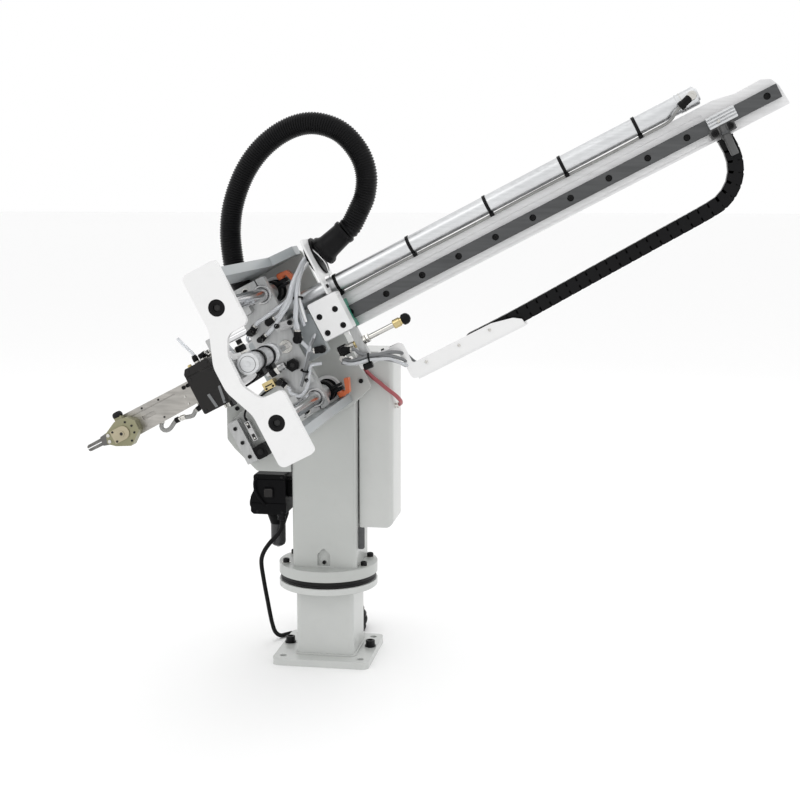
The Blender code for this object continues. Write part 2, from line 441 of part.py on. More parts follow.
# ======================= wrist and jaws =======================
WRIST_U, WRIST_W = -302.0, -1.0
worg = arm_pt(WRIST_U, -119, WRIST_W)
wb = solid("wrist_body", prism_bm(fillet([(-305, 20), (-286, 19), (-274, 8), (-275, -8), (-284.6, -15.6), (-297, -24.5), (-320, -14), (-331, -5), (-326, 10)], 4, 2), -128, -110.4), "olive", ARM, worg)
join(wb, prism_bm(fillet([(-304, 16), (-292, 16), (-292, 29), (-304, 29)], 3, 2), -125, -114), ARM)
JAW_U, JAW_MID = -334.0, 2.0
for k, sgn in (("a", 1), ("b", -1)):
    w = JAW_MID + sgn * 3.2
    jaw = [(JAW_U + 2.6 * math.cos(math.radians(a)), w + 2.6 * math.sin(math.radians(a))) for a in range(-90, 91, 30)]
    tip = [(-360.5, w + sgn * 2.2), (-364.2, w + sgn * 0.6), (-364.5, w - sgn * 2.5)]
    jaw = jaw + (tip if sgn > 0 else tip[::-1])
    solid("jaw_" + k, prism_bm(jaw, -124, -115), "steel", ARM, arm_pt(JAW_U, -119.5, w))
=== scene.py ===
# Looks of the swing-arm take-out robot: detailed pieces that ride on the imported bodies, materials, light and camera.
import bpy, bmesh, math, json
import numpy as np
from mathutils import Matrix, Vector

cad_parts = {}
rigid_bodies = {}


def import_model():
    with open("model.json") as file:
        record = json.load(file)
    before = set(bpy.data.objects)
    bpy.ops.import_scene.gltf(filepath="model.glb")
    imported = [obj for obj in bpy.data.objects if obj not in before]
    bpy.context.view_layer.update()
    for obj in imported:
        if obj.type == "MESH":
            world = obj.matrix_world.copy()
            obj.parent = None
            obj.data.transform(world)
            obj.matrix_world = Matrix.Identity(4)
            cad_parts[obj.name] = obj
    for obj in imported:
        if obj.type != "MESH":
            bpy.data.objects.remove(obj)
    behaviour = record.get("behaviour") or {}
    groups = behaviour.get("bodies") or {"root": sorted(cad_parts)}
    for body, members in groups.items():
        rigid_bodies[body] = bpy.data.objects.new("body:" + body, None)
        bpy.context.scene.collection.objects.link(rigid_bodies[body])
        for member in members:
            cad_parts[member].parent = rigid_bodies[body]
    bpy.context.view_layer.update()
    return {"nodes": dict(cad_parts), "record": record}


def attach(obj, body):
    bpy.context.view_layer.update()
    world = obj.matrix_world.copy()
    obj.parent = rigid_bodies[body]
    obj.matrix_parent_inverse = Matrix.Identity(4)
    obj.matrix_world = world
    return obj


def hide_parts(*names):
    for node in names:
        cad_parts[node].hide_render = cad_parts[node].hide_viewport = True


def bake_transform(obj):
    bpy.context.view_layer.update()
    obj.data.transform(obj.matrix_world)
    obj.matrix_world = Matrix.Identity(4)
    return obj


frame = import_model()
RECORD = frame["record"]
BODY_OF = {n: b for b, ns in RECORD["behaviour"]["bodies"].items() for n in ns}
NODES = frame["nodes"]

MM = 0.001
# ---- sizes, the same as the CAD's, in millimetres ----
BASE_W, BASE_D, BASE_T = 154.0, 146.0, 11.5
BOLT_X, BOLT_Y = 62.0, 57.0
SIDE_BOLT_X, SIDE_BOLT_Y = 66.0, 8.0
POST_W, POST_TOP = 92.0, 117.2
FLANGE_R = 78.4
LOW_FLANGE_T, RING_T, UP_FLANGE_T = 10.0, 10.0, 17.2
COL_X0, COL_X1, COL_D, COL_TOP = -47.0, 55.0, 50.0, 452.0
PIVOT_X, PIVOT_Z = -24.6, 514.1
TILT = 27.6
FRONT_Y, FRONT_T = -380.0, 10.0
REAR_Y0, REAR_Y1 = -62.0, -54.0
ROD_W, ROD_R = 84.3, 10.0
CARR_Y0, CARR_Y1 = -150.0, -138.0
RAIL_Y0, RAIL_Y1 = -110.0, -96.3
RAIL_W0, RAIL_W1 = -7.0, 13.0
BEAM_Y0, BEAM_Y1 = -96.0, -83.0
BEAM_W0, BEAM_W1 = -20.0, 33.0
ARM_LOW, ARM_HIGH = -125.0, 782.0
CYL_W, CYL_Y, CYL_R = 50.0, -104.5, 14.0
HOSE_R = 16.5
KICK_U, KICK_W = -4.0, 1.5
c, s = math.cos(math.radians(TILT)), math.sin(math.radians(TILT))
WORLD = Matrix.Identity(4)
ARM = Matrix(((c, 0, -s, PIVOT_X), (0, 1, 0, 0), (s, 0, c, PIVOT_Z), (0, 0, 0, 1)))

# ======================= materials =======================


def node_mat(name, col, metal=0.0, rough=0.4, vary=0.05, bump=0.05, bump_scale=900.0, grain=(1, 1, 1), wear=0.0,
             wear_col=(0.6, 0.6, 0.6), dirt=0.0, coat=0.0, trans=0.0, ior=1.5, alpha=1.0, tilt=False, spec=None):
    m = bpy.data.materials.new(name)
    m.use_nodes = True
    nt = m.node_tree
    N, L = nt.nodes, nt.links
    b = N["Principled BSDF"]
    b.inputs["Metallic"].default_value = metal
    b.inputs["IOR"].default_value = ior
    b.inputs["Coat Weight"].default_value = coat
    b.inputs["Coat Roughness"].default_value = 0.12
    b.inputs["Transmission Weight"].default_value = trans
    b.inputs["Alpha"].default_value = alpha
    if spec is not None:
        b.inputs["Specular IOR Level"].default_value = spec
    tc = N.new("ShaderNodeTexCoord")
    mp = N.new("ShaderNodeMapping")
    if tilt:
        mp.inputs["Rotation"].default_value = (0, math.radians(TILT), 0)
    mp.inputs["Scale"].default_value = grain
    L.new(tc.outputs["Object"], mp.inputs["Vector"])
    big = N.new("ShaderNodeTexNoise")
    big.inputs["Scale"].default_value = 14.0
    big.inputs["Detail"].default_value = 5.0
    L.new(tc.outputs["Object"], big.inputs["Vector"])
    fine = N.new("ShaderNodeTexNoise")
    fine.inputs["Scale"].default_value = bump_scale
    fine.inputs["Detail"].default_value = 3.0
    L.new(mp.outputs["Vector"], fine.inputs["Vector"])
    ramp = N.new("ShaderNodeMapRange")
    ramp.inputs["From Min"].default_value = 0.3
    ramp.inputs["From Max"].default_value = 0.7
    ramp.inputs["To Min"].default_value = 1.0 - vary
    ramp.inputs["To Max"].default_value = 1.0 + vary
    L.new(big.outputs["Fac"], ramp.inputs["Value"])
    mul = N.new("ShaderNodeVectorMath")
    mul.operation = "SCALE"
    mul.inputs[0].default_value = col
    L.new(ramp.outputs["Result"], mul.inputs["Scale"])
    last = mul.outputs["Vector"]
    if grain != (1, 1, 1):
        g = N.new("ShaderNodeMapRange")
        g.inputs["From Min"].default_value = 0.3
        g.inputs["From Max"].default_value = 0.7
        g.inputs["To Min"].default_value = 1 - vary * 1.4
        g.inputs["To Max"].default_value = 1 + vary * 1.4
        L.new(fine.outputs["Fac"], g.inputs["Value"])
        m2 = N.new("ShaderNodeVectorMath")
        m2.operation = "SCALE"
        L.new(last, m2.inputs[0])
        L.new(g.outputs["Result"], m2.inputs["Scale"])
        last = m2.outputs["Vector"]
    if wear > 0 or dirt > 0:
        geo = N.new("ShaderNodeNewGeometry")
        patch = N.new("ShaderNodeTexNoise")
        patch.inputs["Scale"].default_value = 60.0
        patch.inputs["Detail"].default_value = 6.0
        L.new(tc.outputs["Object"], patch.inputs["Vector"])
        if wear > 0:
            bev = N.new("ShaderNodeBevel")
            bev.samples = 4
            bev.inputs["Radius"].default_value = 0.0012
            dot = N.new("ShaderNodeVectorMath")
            dot.operation = "DOT_PRODUCT"
            L.new(bev.outputs["Normal"], dot.inputs[0])
            L.new(geo.outputs["Normal"], dot.inputs[1])
            edge = N.new("ShaderNodeMapRange")
            edge.inputs["From Min"].default_value = 0.97
            edge.inputs["From Max"].default_value = 0.80
            L.new(dot.outputs["Value"], edge.inputs["Value"])
            pr = N.new("ShaderNodeMapRange")
            pr.inputs["From Min"].default_value = 0.52
            pr.inputs["From Max"].default_value = 0.66
            pr.inputs["To Max"].default_value = wear
            L.new(patch.outputs["Fac"], pr.inputs["Value"])
            both = N.new("ShaderNodeMath")
            both.operation = "MULTIPLY"
            L.new(edge.outputs["Result"], both.inputs[0])
            L.new(pr.outputs["Result"], both.inputs[1])
            mix = N.new("ShaderNodeMix")
            mix.data_type = "RGBA"
            mix.inputs[7].default_value = (*wear_col, 1)
            L.new(both.outputs["Value"], mix.inputs[0])
            L.new(last, mix.inputs[6])
            last = mix.outputs[2]
        if dirt > 0:
            dr = N.new("ShaderNodeMapRange")
            dr.inputs["From Min"].default_value = 0.56
            dr.inputs["From Max"].default_value = 0.80
            dr.inputs["To Max"].default_value = dirt
            L.new(patch.outputs["Fac"], dr.inputs["Value"])
            mix = N.new("ShaderNodeMix")
            mix.data_type = "RGBA"
            mix.inputs[7].default_value = (0.22, 0.21, 0.19, 1)
            L.new(dr.outputs["Result"], mix.inputs[0])
            L.new(last, mix.inputs[6])
            last = mix.outputs[2]
    L.new(last, b.inputs["Base Color"])
    rr = N.new("ShaderNodeMapRange")
    rr.inputs["From Min"].default_value = 0.25
    rr.inputs["From Max"].default_value = 0.75
    rr.inputs["To Min"].default_value = max(0.02, rough * 0.8)
    rr.inputs["To Max"].default_value = min(1.0, rough * 1.25)
    L.new(fine.outputs["Fac"] if metal > 0.5 else big.outputs["Fac"], rr.inputs["Value"])
    L.new(rr.outputs["Result"], b.inputs["Roughness"])
    if bump > 0:
        bp = N.new("ShaderNodeBump")
        bp.inputs["Strength"].default_value = bump
        bp.inputs["Distance"].default_value = 0.0004
        L.new(fine.outputs["Fac"], bp.inputs["Height"])
        L.new(bp.outputs["Normal"], b.inputs["Normal"])
    return m


MATS = {
    "paint": node_mat("paint_grey_green", (0.455, 0.468, 0.452), 0.0, 0.36, 0.03, 0.10, 420, wear=0.5, wear_col=(0.35, 0.36, 0.36), dirt=0.05, coat=0.25),
    "white": node_mat("paint_white", (0.79, 0.79, 0.79), 0.0, 0.30, 0.015, 0.08, 500, wear=0.5, wear_col=(0.42, 0.42, 0.42), dirt=0.05, coat=0.2),
    "basepaint": node_mat("paint_base", (0.535, 0.547, 0.533), 0.0, 0.36, 0.035, 0.11, 420, wear=0.5, wear_col=(0.35, 0.36, 0.36), dirt=0.06, coat=0.25),
    "coverpaint": node_mat("paint_cover", (0.53, 0.54, 0.525), 0.0, 0.34, 0.03, 0.08, 460, wear=0.4, wear_col=(0.4, 0.4, 0.4), dirt=0.05, coat=0.25),
    "greypaint": node_mat("paint_blue_grey", (0.34, 0.365, 0.375), 0.15, 0.34, 0.04, 0.08, 480, wear=0.6, wear_col=(0.6, 0.6, 0.6), dirt=0.05, coat=0.2),
    "steel": node_mat("steel_ground", (0.50, 0.50, 0.50), 1.0, 0.27, 0.08, 0.06, 300, grain=(0.08, 1, 1), tilt=True),
    "darksteel": node_mat("rail_steel", (0.092, 0.094, 0.096), 0.85, 0.34, 0.08, 0.05, 260, grain=(0.05, 1, 1), tilt=True),
    "chrome": node_mat("hard_chrome", (0.70, 0.70, 0.71), 1.0, 0.11, 0.03, 0.02, 500),
    "alu": node_mat("aluminium_anodised", (0.66, 0.67, 0.68), 1.0, 0.36, 0.05, 0.05, 340, grain=(0.06, 1, 1), tilt=True),
    "beamalu": node_mat("aluminium_beam", (0.80, 0.80, 0.805), 0.35, 0.40, 0.04, 0.05, 300, grain=(0.05, 1, 1), tilt=True, dirt=0.04),
    "jawsteel": node_mat("steel_jaw", (0.15, 0.147, 0.14), 0.85, 0.36, 0.15, 0.10, 300, wear=0.6, wear_col=(0.6, 0.6, 0.58)),
    "alu_plate": node_mat("aluminium_milled", (0.46, 0.465, 0.465), 0.5, 0.40, 0.06, 0.06, 260, grain=(1, 1, 0.10), tilt=True, dirt=0.06),
    "black": node_mat("black_oxide", (0.007, 0.007, 0.0075), 0.0, 0.40, 0.15, 0.10, 700, spec=0.20),
    "plastic": node_mat("black_plastic", (0.005, 0.005, 0.0055), 0.0, 0.36, 0.12, 0.12, 900, spec=0.13),
    "matblack": node_mat("black_moulding", (0.0035, 0.0035, 0.004), 0.0, 0.42, 0.15, 0.12, 900, spec=0.07),
    "rubber": node_mat("black_rubber", (0.0045, 0.0045, 0.005), 0.0, 0.46, 0.15, 0.15, 800, spec=0.13),
    "orange": node_mat("orange_plastic", (0.70, 0.155, 0.05), 0.0, 0.32, 0.05, 0.08, 700, coat=0.3),
    "green": node_mat("green_plastic", (0.025, 0.23, 0.15), 0.0, 0.40, 0.06, 0.08, 700),
    "brass": node_mat("brass", (0.60, 0.49, 0.25), 1.0, 0.24, 0.06, 0.04, 400),
    "olive": node_mat("olive_anodised", (0.27, 0.26, 0.165), 0.6, 0.38, 0.12, 0.10, 420, wear=0.7, wear_col=(0.6, 0.58, 0.5), dirt=0.25),
    "tan": node_mat("tan_anodised", (0.43, 0.385, 0.27), 0.6, 0.36, 0.10, 0.08, 420, dirt=0.2),
    "barsteel": node_mat("steel_bar", (0.42, 0.405, 0.38), 0.9, 0.34, 0.12, 0.10, 240, grain=(0.10, 1, 1), tilt=True, dirt=0.25),
    "darkpost": node_mat("post_dark", (0.10, 0.10, 0.10), 0.6, 0.35, 0.12, 0.08, 400),
    "boxblack": node_mat("box_black", (0.013, 0.012, 0.0115), 0.0, 0.42, 0.15, 0.12, 600, wear=0.6, wear_col=(0.16, 0.15, 0.14), spec=0.25),
    "bowl": node_mat("smoked_bowl", (0.035, 0.035, 0.037), 0.0, 0.16, 0.15, 0.02, 300, spec=0.4),
    "clear": node_mat("clear_tube", (0.86, 0.88, 0.91), 0.0, 0.22, 0.03, 0.02, 300, trans=0.45, ior=1.38),
    "smoketube": node_mat("smoked_tube", (0.34, 0.34, 0.33), 0.0, 0.25, 0.06, 0.03, 300, trans=0.25, ior=1.38),
    "greytube": node_mat("grey_tube", (0.16, 0.165, 0.17), 0.0, 0.30, 0.04, 0.03, 300, coat=0.2),
    "redtube": node_mat("red_tube", (0.34, 0.07, 0.08), 0.0, 0.30, 0.06, 0.03, 300, coat=0.2),
    "nickel": node_mat("nickel", (0.62, 0.61, 0.58), 1.0, 0.20, 0.05, 0.04, 500),
    # near-black for small screws, sensor windows and joint lines; as discs in the bottoms of holes and recesses it is
    # painted shade
    "dark": node_mat("black_and_painted_hole_shade", (0.008, 0.008, 0.008), 0.0, 0.6, 0.1, 0.05, 500),
}
MATS["base_white"] = MATS["white"]

# ======================= modelling helpers =======================


def piece(name, bm, kind, fr=WORLD, body=None, rep=(), bevel=0.5, seg=2, angle=35):
    """A bmesh in frame millimetres becomes a piece that rides on a body; a CAD node of the same name is replaced."""
    bmesh.ops.transform(bm, matrix=fr, verts=bm.verts)
    bmesh.ops.scale(bm, vec=(MM, MM, MM), verts=bm.verts)
    bmesh.ops.remove_doubles(bm, verts=bm.verts, dist=1e-7)
    bmesh.ops.recalc_face_normals(bm, faces=bm.faces)
    lim = math.radians(angle)
    for f in bm.faces:
        f.smooth = True
    for e in bm.edges:
        e.smooth = e.calc_face_angle(0.0) < lim
    me = bpy.data.meshes.new(name)
    bm.to_mesh(me)
    bm.free()
    node = name if name in NODES else None
    ob = bpy.data.objects.new("v_" + name if node else name, me)
    bpy.context.scene.collection.objects.link(ob)
    me.materials.append(MATS[kind])
    if bevel:
        b = ob.modifiers.new("edge", "BEVEL")
        b.width = bevel * MM
        b.segments = seg
        b.limit_method = "ANGLE"
        b.angle_limit = lim
        b.harden_normals = True
    if node or rep:
        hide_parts(*([node] if node else []), *rep)
    if body is None:
        body = BODY_OF[node]
    if body != "later":
        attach(ob, body)
    return ob


def prism_bm(pts, t0, t1, plane="xz"):
    def v3(p, t):
        a, b = p
        return {"xz": (a, t, b), "xy": (a, b, t), "yz": (t, a, b)}[plane]
    bm = bmesh.new()
    low = [bm.verts.new(v3(p, t0)) for p in pts]
    face = bm.faces.new(low)
    out = bmesh.ops.extrude_face_region(bm, geom=[face])
    d = Vector(v3((0, 0), t1 - t0))
    bmesh.ops.translate(bm, vec=d, verts=[g for g in out["geom"] if isinstance(g, bmesh.types.BMVert)])
    bmesh.ops.recalc_face_normals(bm, faces=bm.faces)
    return bm


def box_bm(x0, x1, y0, y1, z0, z1):
    bm = bmesh.new()
    bmesh.ops.create_cube(bm, size=1.0)
    bmesh.ops.scale(bm, vec=(x1 - x0, y1 - y0, z1 - z0), verts=bm.verts)
    bmesh.ops.translate(bm, vec=((x0 + x1) / 2, (y0 + y1) / 2, (z0 + z1) / 2), verts=bm.verts)
    return bm


def fillet(pts, radii, n=8):
    out = []
    m = len(pts)
    for i, p in enumerate(pts):
        r = radii if not hasattr(radii, "__len__") else radii[i]
        p = Vector(p)
        if r <= 0:
            out.append(tuple(p))
            continue
        a = Vector(pts[i - 1]) - p
        b = Vector(pts[(i + 1) % m]) - p
        la, lb = a.length, b.length
        a.normalize()
        b.normalize()
        half = math.acos(max(-1, min(1, a.dot(b)))) / 2
        d = min(r / math.tan(half), la * 0.48, lb * 0.48)
        r = d * math.tan(half)
        centre = p + (a + b).normalized() * (r / math.sin(half))
        s0 = p + a * d - centre
        s1 = p + b * d - centre
        a0 = math.atan2(s0.y, s0.x)
        a1 = math.atan2(s1.y, s1.x)
        da = (a1 - a0 + math.pi) % (2 * math.pi) - math.pi
        for k in range(n + 1):
            t = a0 + da * k / n
            out.append((centre.x + r * math.cos(t), centre.y + r * math.sin(t)))
    return out


AXIS_TURN = {"z": Matrix.Identity(4), "x": Matrix.Rotation(math.pi / 2, 4, "Y"), "y": Matrix.Rotation(-math.pi / 2, 4, "X")}


def lathe_bm(prof, n=48, axis="z", centre=(0, 0, 0), bm=None):
    own = bmesh.new()
    closed = prof[0][0] > 0
    vs = [own.verts.new((r, 0, t)) for r, t in prof]
    m = len(prof)
    es = [own.edges.new((vs[k], vs[(k + 1) % m])) for k in range(m if closed else m - 1)]
    bmesh.ops.spin(own, geom=vs + es, cent=(0, 0, 0), axis=(0, 0, 1), angle=2 * math.pi, steps=n, use_merge=True)
    bmesh.ops.remove_doubles(own, verts=own.verts, dist=1e-5)
    bmesh.ops.transform(own, matrix=Matrix.Translation(Vector(centre)) @ AXIS_TURN[axis], verts=own.verts)
    bmesh.ops.recalc_face_normals(own, faces=own.faces)
    if bm is None:
        return own
    merge(bm, own)
    return bm


def merge(bm, other, mat=WORLD):
    me = bpy.data.meshes.new("tmp")
    bmesh.ops.transform(other, matrix=mat, verts=other.verts)
    other.to_mesh(me)
    other.free()
    bm.from_mesh(me)
    bpy.data.meshes.remove(me)
    return bm


def rod_bm(t0, t1, r, n=40, axis="z", centre=(0, 0, 0), ch=0.0, bm=None):
    ch = ch or min(0.4, r * 0.1)
    return lathe_bm([(0, t0), (r - ch, t0), (r, t0 + ch), (r, t1 - ch), (r - ch, t1), (0, t1)], n, axis, centre, bm)


def ring_bm(t0, t1, ri, ro, n=48, axis="z", centre=(0, 0, 0), bm=None):
    return lathe_bm([(ri, t0), (ro, t0), (ro, t1), (ri, t1)], n, axis, centre, bm)


def smooth_path(pts, per=8):
    P = [Vector(p) for p in pts]
    P = [2 * P[0] - P[1]] + P + [2 * P[-1] - P[-2]]
    out = []
    for i in range(1, len(P) - 2):
        for k in range(per):
            t = k / per
            a, b, d, e = P[i - 1], P[i], P[i + 1], P[i + 2]
            out.append(0.5 * (2 * b + (d - a) * t + (2 * a - 5 * b + 4 * d - e) * t * t + (3 * b - a - 3 * d + e) * t ** 3))
    out.append(P[-2])
    return out


def resample(path, step):
    d = [0.0]
    for a, b in zip(path, path[1:]):
        d.append(d[-1] + (b - a).length)
    n = max(2, int(round(d[-1] / step)))
    out, j = [], 0
    for k in range(n + 1):
        t = d[-1] * k / n
        while j < len(d) - 2 and d[j + 1] < t:
            j += 1
        f = (t - d[j]) / max(1e-9, d[j + 1] - d[j])
        out.append(path[j].lerp(path[j + 1], f))
    return out, d[-1]


def frames(path, up=Vector((0, 1, 0))):
    out = []
    prev = None
    for i, p in enumerate(path):
        t = (path[min(i + 1, len(path) - 1)] - path[max(i - 1, 0)]).normalized()
        if prev is None:
            side = up - t * up.dot(t)
            if side.length < 1e-3:
                side = Vector((1, 0, 0)) - t * t.x
        else:
            side = prev - t * prev.dot(t)
        side.normalize()
        prev = side
        out.append((p, t, side, t.cross(side)))
    return out


def sweep_bm(path, radius, n=20, cap=True):
    """A tube along a path whose radius may change with the point's number; each vertex keeps its share of the length."""
    bm = bmesh.new()
    lay = bm.verts.layers.float.new("share")
    fr = frames(path)
    rings = []
    for i, (p, t, a, b) in enumerate(fr):
        r = radius(i) if callable(radius) else radius
        ring = []
        for k in range(n):
            th = 2 * math.pi * k / n
            v = bm.verts.new(p + a * (r * math.cos(th)) + b * (r * math.sin(th)))
            v[lay] = i / (len(fr) - 1)
            ring.append(v)
        rings.append(ring)
    for r0, r1 in zip(rings, rings[1:]):
        for k in range(n):
            j = (k + 1) % n
            bm.faces.new((r0[k], r0[j], r1[j], r1[k]))
    if cap:
        bm.faces.new(list(reversed(rings[0])))
        bm.faces.new(rings[-1])
    return bm


def tube(name, pts, r, kind, body, fr=ARM, per=6, n=14):
    path, _ = resample(smooth_path(pts, per), max(2.0, r * 0.9))
    return piece(name, sweep_bm(path, r, n), kind, fr, body, bevel=0)


def boolean(ob, op, bm, fr=WORLD):
    bmesh.ops.transform(bm, matrix=fr, verts=bm.verts)
    bmesh.ops.scale(bm, vec=(MM, MM, MM), verts=bm.verts)
    bmesh.ops.recalc_face_normals(bm, faces=bm.faces)
    me = bpy.data.meshes.new("tool")
    bm.to_mesh(me)
    bm.free()
    tool = bpy.data.objects.new("tool", me)
    bpy.context.scene.collection.objects.link(tool)
    keep = [(m.name, m.type) for m in ob.modifiers]
    width = ob.modifiers["edge"].width if "edge" in ob.modifiers else None
    segs = ob.modifiers["edge"].segments if "edge" in ob.modifiers else 2
    ob.modifiers.clear()
    m = ob.modifiers.new("bool", "BOOLEAN")
    m.operation = op
    m.solver = "EXACT"
    m.object = tool
    parent, ob.parent = ob.parent, None
    dg = bpy.context.evaluated_depsgraph_get()
    dg.update()
    new = bpy.data.meshes.new_from_object(ob.evaluated_get(dg))
    ob.modifiers.clear()
    ob.parent = parent
    b2 = bmesh.new()
    b2.from_mesh(new)
    bmesh.ops.remove_doubles(b2, verts=b2.verts, dist=2e-6)
    lim = math.radians(35)
    for f in b2.faces:
        f.smooth = True
        f.material_index = 0
    for e in b2.edges:
        e.smooth = e.calc_face_angle(0.0) < lim
    b2.to_mesh(new)
    b2.free()
    mats = [x for x in ob.data.materials]
    ob.data = new
    new.materials.clear()
    for x in mats[:1]:
        new.materials.append(x)
    bpy.data.objects.remove(tool, do_unlink=True)
    if width:
        b = ob.modifiers.new("edge", "BEVEL")
        b.width = width
        b.segments = segs
        b.limit_method = "ANGLE"
        b.angle_limit = lim
        b.harden_normals = True
    return ob


def cut(ob, bm, fr=WORLD):
    return boolean(ob, "DIFFERENCE", bm, fr)


def join(ob, bm, fr=WORLD):
    return boolean(ob, "UNION", bm, fr)


def screws(name, spots, axis, r, h, kind="black", fr=ARM, body="base", socket=True, washer=False):
    """Socket-head screws standing on a face; axis is where the heads point, in the frame."""
    bm = bmesh.new()
    a = Vector(axis).normalized()
    q = a.to_track_quat("Z", "Y").to_matrix().to_4x4()
    for p in spots:
        prof = [(0, 0.05), (r, 0.05), (r, h - r * 0.18), (r * 0.85, h)]
        if socket:
            prof += [(r * 0.52, h), (r * 0.50, h * 0.45), (0, h * 0.45)]
        else:
            prof += [(0, h)]
        one = lathe_bm(prof, 24)
        if washer:
            merge(one, ring_bm(0.02, 1.2, r * 0.9, r * 1.28, 24))
        merge(bm, one, Matrix.Translation(Vector(p)) @ q)
    return piece(name, bm, kind, fr, body, bevel=0)

# Small parts that share a body and a finish are gathered in one mesh.
GROUP = {}


def add(body, kind, bm, fr=ARM):
    bmesh.ops.recalc_face_normals(bm, faces=bm.faces)
    g = GROUP.setdefault((body, kind), bmesh.new())
    merge(g, bm, fr)


def turn_to(p, d):
    return Matrix.Translation(Vector(p)) @ Vector(d).normalized().to_track_quat("Z", "Y").to_matrix().to_4x4()


def stick(body, kind, p, d, prof, n=24, fr=ARM):
    add(body, kind, lathe_bm(prof, n), fr @ turn_to(p, d))


def hexagon(body, kind, p, d, r, t0, t1, fr=ARM):
    stick(body, kind, p, d, [(0, t0), (r * 0.94, t0), (r, t0 + 0.4), (r, t1 - 0.4), (r * 0.94, t1), (0, t1)], 6, fr)


def fitting(body, p, d, s=1.0, fr=ARM, straight=False, side=(0, 1, 0)):
    """A push-in air fitting: nickel thread and hexagon, black body and release ring. Returns where its tube starts."""
    d = Vector(d).normalized()
    hexagon(body, "nickel", p, d, 5.2 * s, 0, 3.6 * s, fr)
    stick(body, "plastic", p, d, [(0, 3.4 * s), (4.5 * s, 3.4 * s), (4.8 * s, 4.2 * s), (4.8 * s, 11 * s), (4.2 * s, 12 * s), (0, 12 * s)], 24, fr)
    if straight:
        stick(body, "black", p, d, [(2.2 * s, 11.8 * s), (3.9 * s, 11.8 * s), (3.9 * s, 12.8 * s), (4.3 * s, 13.2 * s), (4.3 * s, 13.9 * s), (2.2 * s, 13.9 * s)], 24, fr)
        return Vector(p) + d * 12 * s, d
    sd = Vector(side).normalized()
    q = Vector(p) + d * 7.8 * s
    stick(body, "plastic", q, sd, [(0, -4.2 * s), (3.6 * s, -4.2 * s), (4.4 * s, -3.2 * s), (4.4 * s, 8.5 * s), (0, 8.5 * s)], 24, fr)
    stick(body, "nickel", q, sd, [(2.2 * s, 8.4 * s), (3.9 * s, 8.4 * s), (3.9 * s, 9.4 * s), (4.2 * s, 9.8 * s), (4.2 * s, 10.4 * s), (2.2 * s, 10.4 * s)], 24, fr)
    return q + sd * 9 * s, sd


def speed_controller(body, p, d, side, s=1.0, fr=ARM):
    """A flow control: a fitting with a knurled needle knob and lock nut above it."""
    e = fitting(body, p, d, s, fr, side=side)
    d = Vector(d).normalized()
    hexagon(body, "nickel", Vector(p) + d * 11.5 * s, d, 4.2 * s, 0, 2.2 * s, fr)
    n = 18
    bm = prism_bm([((3.9 - 0.45 * (k % 2)) * s * math.cos(math.pi * k / n), (3.9 - 0.45 * (k % 2)) * s * math.sin(math.pi * k / n)) for k in range(2 * n)], 13.6 * s, 20 * s, "xy")
    add(body, "black", bm, fr @ turn_to(p, d))
    return e


def cap_screw(body, p, d, r, h, kind="black", fr=ARM, washer=False):
    stick(body, kind, p, d, [(0, 0.04), (r, 0.04), (r, h - r * 0.16), (r * 0.84, h), (r * 0.56, h), (r * 0.5, h * 0.45), (0, h * 0.45)], 24, fr)
    if washer:
        stick(body, "nickel", p, d, [(r * 0.9, 0.02), (r * 1.35, 0.02), (r * 1.35, 0.8), (r * 0.9, 0.8)], 28, fr)


def soft_tube(body, pts, r, kind, fr=ARM, per=6, n=12):
    path, _ = resample(smooth_path(pts, per), max(2.0, r * 1.1))
    add(body, kind, sweep_bm(path, r, n), fr)


def bundle(body, pts, r, kinds, spread, fr=ARM, seed=1, dy=(0, 1, 0)):
    rng = np.random.default_rng(seed)
    for k, kind in enumerate(kinds):
        a = 2 * math.pi * k / len(kinds) + rng.uniform(-0.3, 0.3)
        new = []
        for i, p in enumerate(pts):
            w = spread * (0.9 + 0.35 * rng.uniform(-1, 1))
            new.append(Vector(p) + Vector((math.cos(a), math.sin(a) * 0.8, math.sin(a + 0.7))) * w)
        soft_tube(body, new, r, kind, fr)


def tie(body, p, d, r, fr=ARM, w=2.6, kind="plastic"):
    stick(body, kind, p, d, [(r, -w / 2), (r + 1.1, -w / 2), (r + 1.1, w / 2), (r, w / 2)], 28, fr)
    q = turn_to(p, d)
    add(body, kind, box_bm(r + 0.2, r + 4.2, -2.3, 2.3, -w / 2 - 0.5, w / 2 + 0.5), fr @ q)


# ======================= base =======================
z_low = POST_TOP + LOW_FLANGE_T
base = piece("base_casting", prism_bm(fillet([(-BASE_W / 2, -BASE_D / 2), (BASE_W / 2, -BASE_D / 2), (BASE_W / 2, BASE_D / 2), (-BASE_W / 2, BASE_D / 2)], 10), 0, BASE_T, "xy"), "basepaint", bevel=1.0, seg=3)
join(base, prism_bm(fillet([(-POST_W / 2 + 3, -POST_W / 2), (POST_W / 2 + 3, -POST_W / 2), (POST_W / 2 + 3, POST_W / 2), (-POST_W / 2 + 3, POST_W / 2)], 7), BASE_T - 2, POST_TOP + 2, "xy"))
join(base, rod_bm(POST_TOP, z_low, FLANGE_R, 128, ch=0.6))
for bx, by in ((-BOLT_X, -BOLT_Y), (BOLT_X, -BOLT_Y), (BOLT_X, BOLT_Y), (-BOLT_X, BOLT_Y), (-SIDE_BOLT_X, SIDE_BOLT_Y), (SIDE_BOLT_X, SIDE_BOLT_Y)):
    cut(base, rod_bm(-1, BASE_T + 1, 5.6, 32, centre=(bx, by, 0)))
